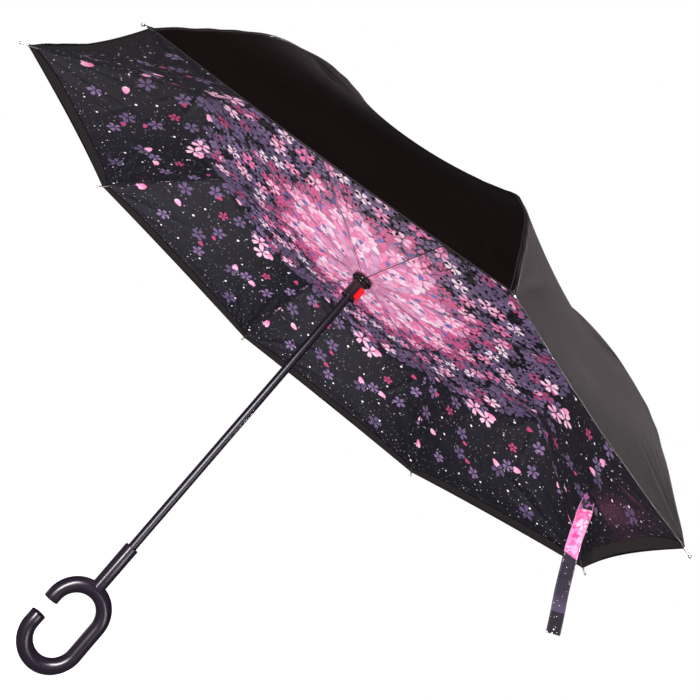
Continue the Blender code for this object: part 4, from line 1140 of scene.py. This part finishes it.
def sew(label, layer, rib, rows, outward):
    """Stitches on one canopy piece: beside the seam over its rib, or along the hem's inner edge."""
    points, normals, across, way = layer
    raised = points + outward * STITCH_LIFT * normals
    middle = rib * GORE_STEPS
    if label == "rim_hem":
        lines = [[raised[(middle + k) % COLUMNS, 1] for k in range(-HALF_STEPS, HALF_STEPS + 1)]]
    else:
        lines = [
            [between(raised, middle + side * SEAM_ASIDE / (2 * abs(across[-1, j]) / GORE_STEPS), j)
             for j in range(max(rows[0], 8), rows[1] + 1)]
            for side in (-1, 1)
        ]
    made = repeated(f"{label}_stitches_{rib + 1}", SEAM_STITCHES, DARK_THREAD, lines,
                    spacing=0.0042, stitch_length=0.0030, thread_radius=0.00028)
    fit_cloth(made, label, rib)


def punch(layer, rib):
    """The vent holes in the middle of the gores, in staggered rows that run with the rim."""
    points, normals, across, way = layer
    places, facing = [], []
    for row in range(VENT_ROWS):
        j = int(np.searchsorted(way, VENT_START + VENT_ROW_STEP * row))
        full = abs(across[-1, j])
        limit = full - VENT_MARGIN - 0.004 * abs(row - (VENT_ROWS - 1) / 2)
        steps = int(limit / VENT_SPACING)
        for k in range(-steps, steps + 1):
            aside = (k + 0.5 * (row % 2)) * VENT_SPACING
            if abs(aside) > limit:
                continue
            gore = rib if aside < 0 else rib - 1
            at = (aside / full + 1) / 2 * GORE_STEPS + gore * GORE_STEPS
            places.append(between(points, at, j))
            facing.append(normals[math.floor(at) % COLUMNS, j])
    made = repeated(f"vent_holes_{rib + 1}", HOLES, HOLE_DARK, [places], facing=facing,
                    hole_radius=0.0022, hole_depth=0.0013)
    fit_cloth(made, "inner_crown", rib)


def dress_nodes():
    """The CAD pieces whose shape is right get their finishes."""
    finishes = {
        "handle_pin": BRIGHT_STEEL,
        "top_notch": BLACK_PLASTIC,
        "notch_wire": BRIGHT_STEEL,
        "runner_wire": BRIGHT_STEEL,
        "button_spring": BRIGHT_STEEL,
        "upper_arm": FRAME_STEEL,
        "lower_arm": FRAME_STEEL,
        "knuckle": FRAME_STEEL,
        "rib_rod": ROD_FIBREGLASS,
    }
    for name, node in NODES.items():
        kind = name.rstrip("0123456789").rstrip("_")
        if kind in finishes:
            node.data.materials.clear()
            node.data.materials.append(finishes[kind])


def place_piece(made, body, slot, *nodes):
    """Rides a piece on its body and hides the CAD nodes it stands for."""
    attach(made, body)
    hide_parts(*nodes)


# The handle, the shaft and what runs on it, in metres from the grip's middle
LOOP_R = 0.0335
LOOP_HALF_STRAIGHT = 0.0200
LOOP_FLARE = 0.0015
GRIP_R = 0.0101
MOUTH = (0.0133, -0.0075)
NECK_R = (0.0092, 0.0094)
NECK_Z = (0.0535, 0.1215)
SHAFT_R = 0.0059
SHAFT_BORE_R = 0.0050
SHAFT_Z = (0.0677, 0.71073)
RUNNER_HINGE_Z = 0.597505
BUTTON_DROP = 0.03085  # under the runner's hinges
BUTTON_TURN = Matrix.Rotation(math.radians(-45.0), 4, "Z")


def loop_arc(middle, start, end, steps):
    """An arc of the grip's loop, which flares a little on the side of its mouth."""
    points = []
    for angle in np.radians(np.linspace(start, end, steps)):
        radius = LOOP_R + LOOP_FLARE * max(0.0, -math.cos(angle)) ** 2
        points.append((radius * math.cos(angle), 0.0, middle + radius * math.sin(angle)))
    return points


def make_handle():
    """The C-shaped grip with its neck, one moulding with square mouth ends and a crisp root."""
    left = -(LOOP_R + LOOP_FLARE)
    edge = 0.0005
    top, foot = MOUTH
    line = [(left, 0, top), (left, 0, top + 0.3 * edge), (left, 0, top + edge)]
    line += loop_arc(LOOP_HALF_STRAIGHT, 180, 0, 61)
    line += [(LOOP_R, 0, z) for z in np.linspace(0.015, -0.015, 7)]
    line += loop_arc(-LOOP_HALF_STRAIGHT, 0, -180, 61)
    line += [(left, 0, foot - edge), (left, 0, foot - 0.3 * edge), (left, 0, foot)]
    radii = [GRIP_R - edge, GRIP_R - 0.3 * edge] + [GRIP_R] * (len(line) - 4)
    radii += [GRIP_R - 0.3 * edge, GRIP_R - edge]
    handle = new_object("c_grip_and_neck", swept("c_grip_and_neck", line, radii, 48), HANDLE_PLASTIC)
    low, high = NECK_Z
    root, tip = NECK_R
    bore = SHAFT_R + 0.0003
    profile = [(0, low), (root, low), (tip, high - 0.0004), (tip - 0.0004, high), (bore + 0.0008, high),
               (bore, high - 0.0012), (bore, high - 0.0530), (0, high - 0.0530)]
    neck = new_object("neck_helper", turned("neck_helper", profile, 64), HANDLE_PLASTIC)
    cut(handle, neck, "UNION")
    settle(handle, neck)
    smooth_faces(handle.data, 38.0)
    place_piece(handle, "shaft_body", "handle_plastic", "handle")


def make_shaft():
    """The straight tube, open at both ends."""
    low, high = SHAFT_Z
    profile = [(SHAFT_BORE_R, low), (SHAFT_R, low), (SHAFT_R, high), (SHAFT_BORE_R, high)]
    shaft = new_object("round_shaft", turned("round_shaft", profile, 64), SHAFT_METAL)
    place_piece(shaft, "shaft_body", "shaft_metal", "shaft")


def make_cap():
    """The crown's cap: a shallow dome with a rolled rim and a raised boss."""
    seat = RIM_Z + RIDGE[0][1] * TIP_R + 0.0004
    stem = SHAFT_BORE_R - 0.0003
    profile = [(0, seat - 0.0120), (stem - 0.0006, seat - 0.0120), (stem, seat - 0.0114), (stem, seat)]
    profile += [(0.0128, seat), (0.0132, seat + 0.0004), (0.0132, seat + 0.0010), (0.0127, seat + 0.0015)]
    profile += [(0.0120, seat + 0.0016), (0.0112, seat + 0.0022), (0.0095, seat + 0.0029)]
    profile += [(0.0070, seat + 0.0035), (0.0052, seat + 0.0037), (0.0047, seat + 0.0041)]
    profile += [(0.0040, seat + 0.0043), (0.0020, seat + 0.0044), (0, seat + 0.0044)]
    cap = new_object("crown_cap", turned("crown_cap", profile, 64), BLACK_PLASTIC)
    place_piece(cap, "shaft_body", "black_plastic", "top_cap")


def make_runner():
    """The runner: a glossy bell, a grooved head for the hinge wire, a body with a pocket, a thin lip."""
    z = RUNNER_HINGE_Z
    bore = SHAFT_R + 0.00035
    quarter = [math.radians(a) for a in range(0, 91, 9)]
    bell = [(0.0125 + 0.0032 * math.sin(a) ** 0.8, z - 0.0146 + 0.0036 * (1 - math.cos(a))) for a in quarter]
    bell += [(0.0127 + 0.0030 * math.cos(a) ** 0.8, z - 0.0110 + 0.0036 * math.sin(a)) for a in quarter[1:]]
    profile = [
        (bore, z - 0.0436), (0.0100, z - 0.0436), (0.0107, z - 0.0434), (0.0110, z - 0.0430),
        (0.0110, z - 0.0420), (0.0107, z - 0.0415), (0.0103, z - 0.0412), (0.0103, z - 0.0188),
        (0.0109, z - 0.0183), (0.0118, z - 0.0176), (0.0123, z - 0.0168), (0.0125, z - 0.0160),
        *bell,
        (0.0080, z - 0.0074), (0.0080, z - 0.0038), (0.0162, z - 0.0038), (0.0166, z - 0.0034),
        (0.0166, z - 0.0011), (0.0137, z - 0.0011), (0.0137, z + 0.0011), (0.0166, z + 0.0011),
        (0.0166, z + 0.0032), (0.0160, z + 0.0038), (bore + 0.0014, z + 0.0038),
        (bore + 0.0008, z + 0.0044), (bore, z + 0.0044),
    ]
    runner = new_object("bell_runner", turned("bell_runner", profile, 96, 40.0), RUNNER_PLASTIC)
    slots = bmesh.new()
    for number in range(RIB_COUNT):
        turn = Matrix.Rotation(math.tau * number / RIB_COUNT, 4, "Z")
        place = turn @ Matrix.Translation((0.0157, -0.0028, z + 0.0006))
        bmesh.ops.create_cube(slots, size=1.0, matrix=place @ Matrix.Diagonal((0.0086, 0.0032, 0.0108, 1.0)))
    place = BUTTON_TURN @ Matrix.Translation((0.01352, 0.0, z - BUTTON_DROP))
    bmesh.ops.create_cube(slots, size=1.0, matrix=place @ Matrix.Diagonal((0.01296, 0.0106, 0.0179, 1.0)))
    mesh = bpy.data.meshes.new("runner_openings")
    slots.to_mesh(mesh)
    slots.free()
    openings = new_object("runner_openings", mesh, RUNNER_PLASTIC)
    cut(runner, openings)
    settle(runner, openings)
    smooth_faces(runner.data, 38.0)
    place_piece(runner, "runner_body", "runner_plastic", "runner")


def make_button():
    """The release button: a red block with soft edges and a slightly hollowed face."""
    work = bmesh.new()
    rows, columns = 12, 8
    half_w, half_h = 0.0050, 0.00865
    inner, outer = 0.00885, 0.01315
    front, back = [], []
    for i in range(rows + 1):
        for j in range(columns + 1):
            a, b = 2 * j / columns - 1, 2 * i / rows - 1
            hollow = 0.0004 * (1 - a * a) * (1 - b * b)
            front.append(work.verts.new((outer - hollow, a * half_w, b * half_h)))
            back.append(work.verts.new((inner, a * half_w, b * half_h)))
    wide = columns + 1
    for i in range(rows):
        for j in range(columns):
            a = i * wide + j
            work.faces.new([front[a], front[a + 1], front[a + wide + 1], front[a + wide]])
            work.faces.new([back[a], back[a + wide], back[a + wide + 1], back[a + 1]])
    for a, b in rim_loop(rows + 1, wide):
        work.faces.new([front[a], back[a], back[b], front[b]])
    bmesh.ops.recalc_face_normals(work, faces=work.faces)
    work.transform(Matrix.Translation((0, 0, RUNNER_HINGE_Z - BUTTON_DROP)) @ BUTTON_TURN)
    mesh = bpy.data.meshes.new("red_button")
    work.to_mesh(mesh)
    work.free()
    button = new_object("red_button", mesh, RED_PLASTIC)
    rounded(button, 0.0006, 3, 50.0)
    settle(button)
    smooth_faces(button.data, 60.0)
    place_piece(button, "button_body", "red_plastic", "release_button")


def make_tips():
    """Eight thin metal tips: a drawn cap that ends in a small ball."""
    slope = math.atan2(KNEE_Z, TIP_R - KNEE_R)
    start_r = TIP_R - 0.0115
    length = 0.0210 / math.cos(slope)
    ball = 0.0017
    neck = 0.00085
    profile = [(0.00125, 0.0), (0.00150, 0.0), (0.00150, 0.0105), (0.00140, 0.0125), (0.0011, 0.0150),
               (neck, 0.0180)]
    for a in np.radians(range(150, -1, -15)):
        profile.append((max(ball * math.sin(a), 0.0), length - ball + ball * math.cos(a)))
    profile[-1] = (0.0, length)
    inner = [(0.0, 0.0160), (0.0009, 0.0160), (0.00125, 0.0140)]
    mesh = turned("metal_tip", inner + profile, 16, 50.0)
    place = Matrix.Translation((start_r, 0, RIM_Z + (TIP_R - start_r) * math.tan(slope)))
    mesh.transform(place @ Matrix.Rotation(math.pi / 2 + slope, 4, "Y"))
    for number in range(1, RIB_COUNT + 1):
        copy = mesh.copy()
        copy.transform(Matrix.Rotation(math.tau * (number - 1) / RIB_COUNT, 4, "Z"))
        tip = new_object(f"metal_tip_{number}", copy, TIP_METAL)
        place_piece(tip, f"rib_body_{number}", "tip_metal", f"rib_tip_{number}")


STRAP_ROOT = Vector((0.7305, -0.2817, 0.0729)) * TIP_R + Vector((0, 0, RIM_Z))
STRAP_HANG = Vector((0.0815, 0.0224, -0.1591))
STRAP_ROOT_ACROSS = Vector((0.0114, -0.0148, -0.0098)).normalized()
STRAP_FACING = Vector((-0.178, -0.957, -0.227)).normalized()
STRAP_HALF_W = 0.0095
STRAP_BOW = -0.0055
STRAP_FOLD = 0.078  # how far down the strap is folded over, in its middle
STRAP_FOLD_LEAN = 0.39
STRAP_END = 0.1508  # where its sewn-down end patch starts
STRAP_STEPS = (16, 170)


def strap_cloth():
    """Printed on its upper part with pink blossoms, on the part below the fold with the night sky, with a
    painted shade line along the fold.
    """
    made, net, shader = material("printed_strap")
    uv = net.node("ShaderNodeUVMap", uv_map="strap_plan").outputs[0]
    place = net.scaled(uv, 1000.0)
    aside, down = list(net.split(uv))[:2]

    def strewn(kind, under, shift, **spread):
        """Printed shapes all over the strap, drawn through the colour under them."""
        drawn = place if under is None else net.vector("ADD", place, net.scaled(under, HAIR))
        return net.use(kind, place=drawn, shift=(*shift, 0.0), jitter=1.0, near=-50.0, far=900.0, fade=5.0,
                       **spread)

    below_fold = net.minus(down, net.plus(net.times(aside, STRAP_FOLD_LEAN), STRAP_FOLD))
    upper = net.span(below_fold, -0.0003, 0.0003, 1.0, 0.0)
    wash = net.noise(net.scaled(place, 0.11), 1.0, 4.0, 0.6)
    pink = net.mix(net.span(wash, 0.36, 0.56), rgb(214, 44, 116), rgb(255, 130, 190))
    found = strewn(BLOSSOMS, None, (3.3, 1.7), cell=19.0, fullness=0.95, reach=0.52, vary=0.3)
    pink = net.mix(found["Mask"], pink, net.mix(found["Tone"], PINK, WHITE))
    found = strewn(PETALS, pink, (8.1, 4.4), cell=13.0, fullness=0.5, reach=0.45, vary=0.4, slim=0.5,
                   turn=math.tau)
    pink = net.mix(found["Mask"], pink, net.mix(found["Tone"], rgb(228, 64, 136), PALE))
    root = net.span(net.plus(down, net.times(aside, 0.5)), 0.0150, 0.0156, 1.0, 0.0)
    patches = net.span(net.noise(net.scaled(place, 0.16), 1.0, 2.0), 0.50, 0.53)
    pink = net.mix(root, pink, net.mix(patches, NAVY, rgb(150, 84, 140)))
    rim = net.span(net.calc("ABSOLUTE", aside), 0.0084, 0.0087)
    pink = net.mix(net.times(rim, 0.6), pink, rgb(236, 140, 190))
    stars = strewn(STARS, pink, (1.1, 5.2), cell=7.0, fullness=0.35, reach=0.09, vary=0.5)["Mask"]
    starred = net.mix(stars, pink, WHITE)
    spots = strewn(STARS, starred, (6.4, 2.9), cell=5.2, fullness=0.75, reach=0.22, vary=0.5)["Mask"]
    night = net.mix(net.span(wash, 0.35, 0.65), rgb(20, 14, 30), rgb(36, 28, 48))
    before_end = net.span(down, STRAP_END, STRAP_END + 0.0006, 1.0, 0.0)
    night = net.mix(net.times(net.span(down, 0.120, 0.150), before_end), night, rgb(62, 52, 76))
    end = net.times(net.span(down, STRAP_END, STRAP_END + 0.0006), 0.8)
    night = net.mix(end, night, rgb(10, 7, 20))
    spots = net.times(spots, net.span(down, 0.170, 0.174))
    night = net.mix(net.calc("MAXIMUM", stars, spots), night, WHITE)
    # Painted shade: a dark line along the fold, where the folded-over cloth shades it
    painted_fold_shade = net.span(net.calc("ABSOLUTE", below_fold), 0.0004, 0.0012, 0.7, 0.0)
    shade = net.mix(painted_fold_shade, net.mix(upper, night, pink), rgb(60, 24, 50))
    weave = net.use(WEAVE, place=uv)
    soft = net.noise(net.scaled(place, 0.09), 1.0, 3.0)
    fine = bump(net, weave["Height"], 0.00006, 0.5)
    net.fill(shader, {
        "Base Color": shade, "Normal": bump(net, soft, 0.0010, 0.6, fine), "Roughness": 0.55,
        "Sheen Weight": 0.10, "Specular IOR Level": 0.35,
    })
    return made


def make_strap():
    """A doubled band of cloth, sewn at its upper end, folded over part of the way and hanging loose."""
    hang = STRAP_HANG.normalized()
    across_hang = hang.cross(STRAP_FACING).normalized()
    bow_way = -across_hang
    if STRAP_ROOT_ACROSS.dot(across_hang) < 0:
        across_hang = -across_hang
    wide, long = STRAP_STEPS
    length = STRAP_HANG.length
    random = np.random.default_rng(7)
    spans = ((0.0002, 0.0006), (40, 110), (0, 6))  # of each wave's height, frequency and phase
    waves = [[random.uniform(*span) for span in spans] for _ in range(4)]
    front, back, plan, edge_lines = [], [], [], ([], [])
    for i in range(long + 1):
        share = i / long
        bend = math.sin(math.pi * share ** 0.72)
        middle = STRAP_ROOT + STRAP_HANG * share + bow_way * STRAP_BOW * bend
        turn = min(1.0, share / 0.16)
        across = STRAP_ROOT_ACROSS.lerp(across_hang, turn).normalized()
        face = across.cross(hang).normalized()
        if face.dot(STRAP_FACING) < 0:
            face = -face
        for j in range(wide + 1):
            a = 2 * j / wide - 1
            x, y = a * STRAP_HALF_W, share * length
            past = y - STRAP_FOLD - STRAP_FOLD_LEAN * x
            thick = 0.00055 * (1 - abs(a) ** 10) ** 0.5 + 0.00008
            over = 0.00050 * (1 - ease(past, -0.0010, 0.0004))
            over += 0.00045 * math.exp(-((past + 0.0012) / 0.0011) ** 2)
            wave = sum(h * math.sin(f * y + g) for h, f, g in waves) * ease(y, 0.01, 0.05)
            curl = 0.0006 * (a * a) * math.sin(38 * y + 1.0)
            base = middle + across * x + face * (float(wave) + curl)
            front.append(base + face * (thick + float(over)))
            back.append(base - face * thick)
            plan.append((x, y))
            if j in (1, wide - 1):
                edge_lines[j > 1].append(front[-1] + face * 0.0001)
    faces, plans = [], []
    row, layer = wide + 1, (wide + 1) * (long + 1)
    for i in range(long):
        for j in range(wide):
            quad = (i * row + j, i * row + j + 1, (i + 1) * row + j + 1, (i + 1) * row + j)
            faces += [quad, tuple(layer + v for v in quad[::-1])]
            plans += [[plan[v] for v in quad], [plan[v] for v in quad[::-1]]]
    for a, b in rim_loop(long + 1, row):
        faces.append((b, a, layer + a, layer + b))
        plans.append([plan[b], plan[a], plan[a], plan[b]])
    mesh = bpy.data.meshes.new("closing_strap")
    mesh.from_pydata([tuple(p) for p in front + back], [], faces)
    set_plan(mesh, "strap_plan", plans)
    work = bmesh.new()
    work.from_mesh(mesh)
    if work.calc_volume(signed=True) < 0:
        bmesh.ops.reverse_faces(work, faces=work.faces)
        work.to_mesh(mesh)
    work.free()
    smooth_faces(mesh, 70.0)
    strap = new_object("closing_strap", mesh, strap_cloth())
    place_piece(strap, "strap_body", "strap_cloth", "strap")
    stitches = repeated("strap_stitches", STRAP_STITCHES, PALE_THREAD, edge_lines,
                        spacing=0.0034, stitch_length=0.0022, thread_radius=0.00024)
    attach(stitches, "strap_body")


# How bright the white room and floor are to the object, and in its gloss
ROOM_LIGHT = 0.05
FLOOR_LIGHT = 0.80
MIRRORED_ROOM = 0.02
# Each light's place and target, its width and height in metres, power in watts, spread in degrees and tint
LIGHTS = {
    "key_light": ((2.6, -0.60, 1.25), (0.35, -0.36, 0.69), 0.7, 0.2, 12.0, 9.6, (1.0, 0.95, 1.0)),
    "fill_light": ((1.2, -1.9, 0.10), (0.05, 0.0, 0.6), 1.2, 0.6, 18.0, 180.0, (1.0, 0.98, 1.0)),
    "low_light": ((-0.15, 0.38, -0.05), (-0.15, 0.38, 0.5), 0.8, 0.5, 1.3, 180.0, (1.0, 0.95, 1.0)),
    "tall_light": ((-0.84, -1.58, 0.64), (0.0, 0.0, 0.64), 0.40, 1.38, 88.0, 180.0, (1.0, 0.92, 0.97)),
}


def room_share(net, plain):
    """White to the camera, dimmer where the room lights the object or shows in its gloss."""
    path = net.node("ShaderNodeLightPath")
    dim = net.span(path.outputs["Is Glossy Ray"], 0.0, 1.0, plain, MIRRORED_ROOM)
    return net.calc("MAXIMUM", path.outputs["Is Camera Ray"], dim)


def make_stage():
    """A pale floor in a white room."""
    made, net, shader = material("studio_floor")
    pale = net.span(net.node("ShaderNodeLightPath").outputs["Is Camera Ray"], 0.0, 1.0, 0.05, 0.9)
    net.fill(shader, {
        "Base Color": net.join(pale, pale, pale), "Roughness": 0.9, "Emission Color": (1.0, 1.0, 1.0, 1.0),
        "Emission Strength": room_share(net, FLOOR_LIGHT),
    })
    reach = 30.0
    low = float(CAD_BOX[0][2]) - 0.001
    corners = [(-reach, -reach, low), (reach, -reach, low), (reach, reach, low), (-reach, reach, low)]
    mesh = bpy.data.meshes.new("studio_floor")
    mesh.from_pydata(corners, [], [(0, 1, 2, 3)])
    floor = new_object("studio_floor", mesh, made)
    world = bpy.data.worlds.new("studio")
    bpy.context.scene.world = world
    world.use_nodes = True
    net = Net(world.node_tree)
    back = world.node_tree.nodes["Background"]
    net.fill(back, {"Color": (1.0, 1.0, 1.0, 1.0), "Strength": room_share(net, ROOM_LIGHT)})


def make_lights():
    for name, (place, target, wide, tall, power, spread, tint) in LIGHTS.items():
        lamp = bpy.data.lights.new(name, "AREA")
        lamp.shape = "RECTANGLE"
        lamp.size = wide
        lamp.size_y = tall
        lamp.energy = power
        lamp.color = tint
        lamp.spread = math.radians(spread)
        light = bpy.data.objects.new(name, lamp)
        bpy.context.collection.objects.link(light)
        light.location = place
        light.rotation_euler = (Vector(target) - Vector(place)).to_track_quat("-Z", "Y").to_euler()


def make_camera():
    """The photograph's view, solved from the tips, the shaft and the handle."""
    right = Vector((0.718923, -0.271330, 0.639945))
    down = Vector((0.676057, 0.058982, -0.734485))
    ahead = Vector((0.161543, 0.960677, 0.225838))
    lens = bpy.data.cameras.new("photo_view")
    lens.sensor_width = 36.0
    side, focal, (centre_x, centre_y) = 700, 916.958, (305.30, 314.00)  # pixels of the photograph
    lens.lens = focal / side * lens.sensor_width
    lens.shift_x = (side / 2 - centre_x) / side
    lens.shift_y = (centre_y - side / 2) / side
    camera = bpy.data.objects.new("photo_view", lens)
    bpy.context.collection.objects.link(camera)
    turn = Matrix((right, -down, -ahead)).transposed()
    camera.matrix_world = Matrix.Translation((-0.229537, -1.191442, 0.216686)) @ turn.to_4x4()
    bpy.context.scene.camera = camera
    bpy.context.scene.view_settings.view_transform = "Standard"


dress_nodes()
make_handle()
make_shaft()
make_cap()
make_runner()
make_button()
make_tips()
make_canopies()
make_strap()
make_stage()
make_lights()
make_camera()

bpy.context.view_layer.update()
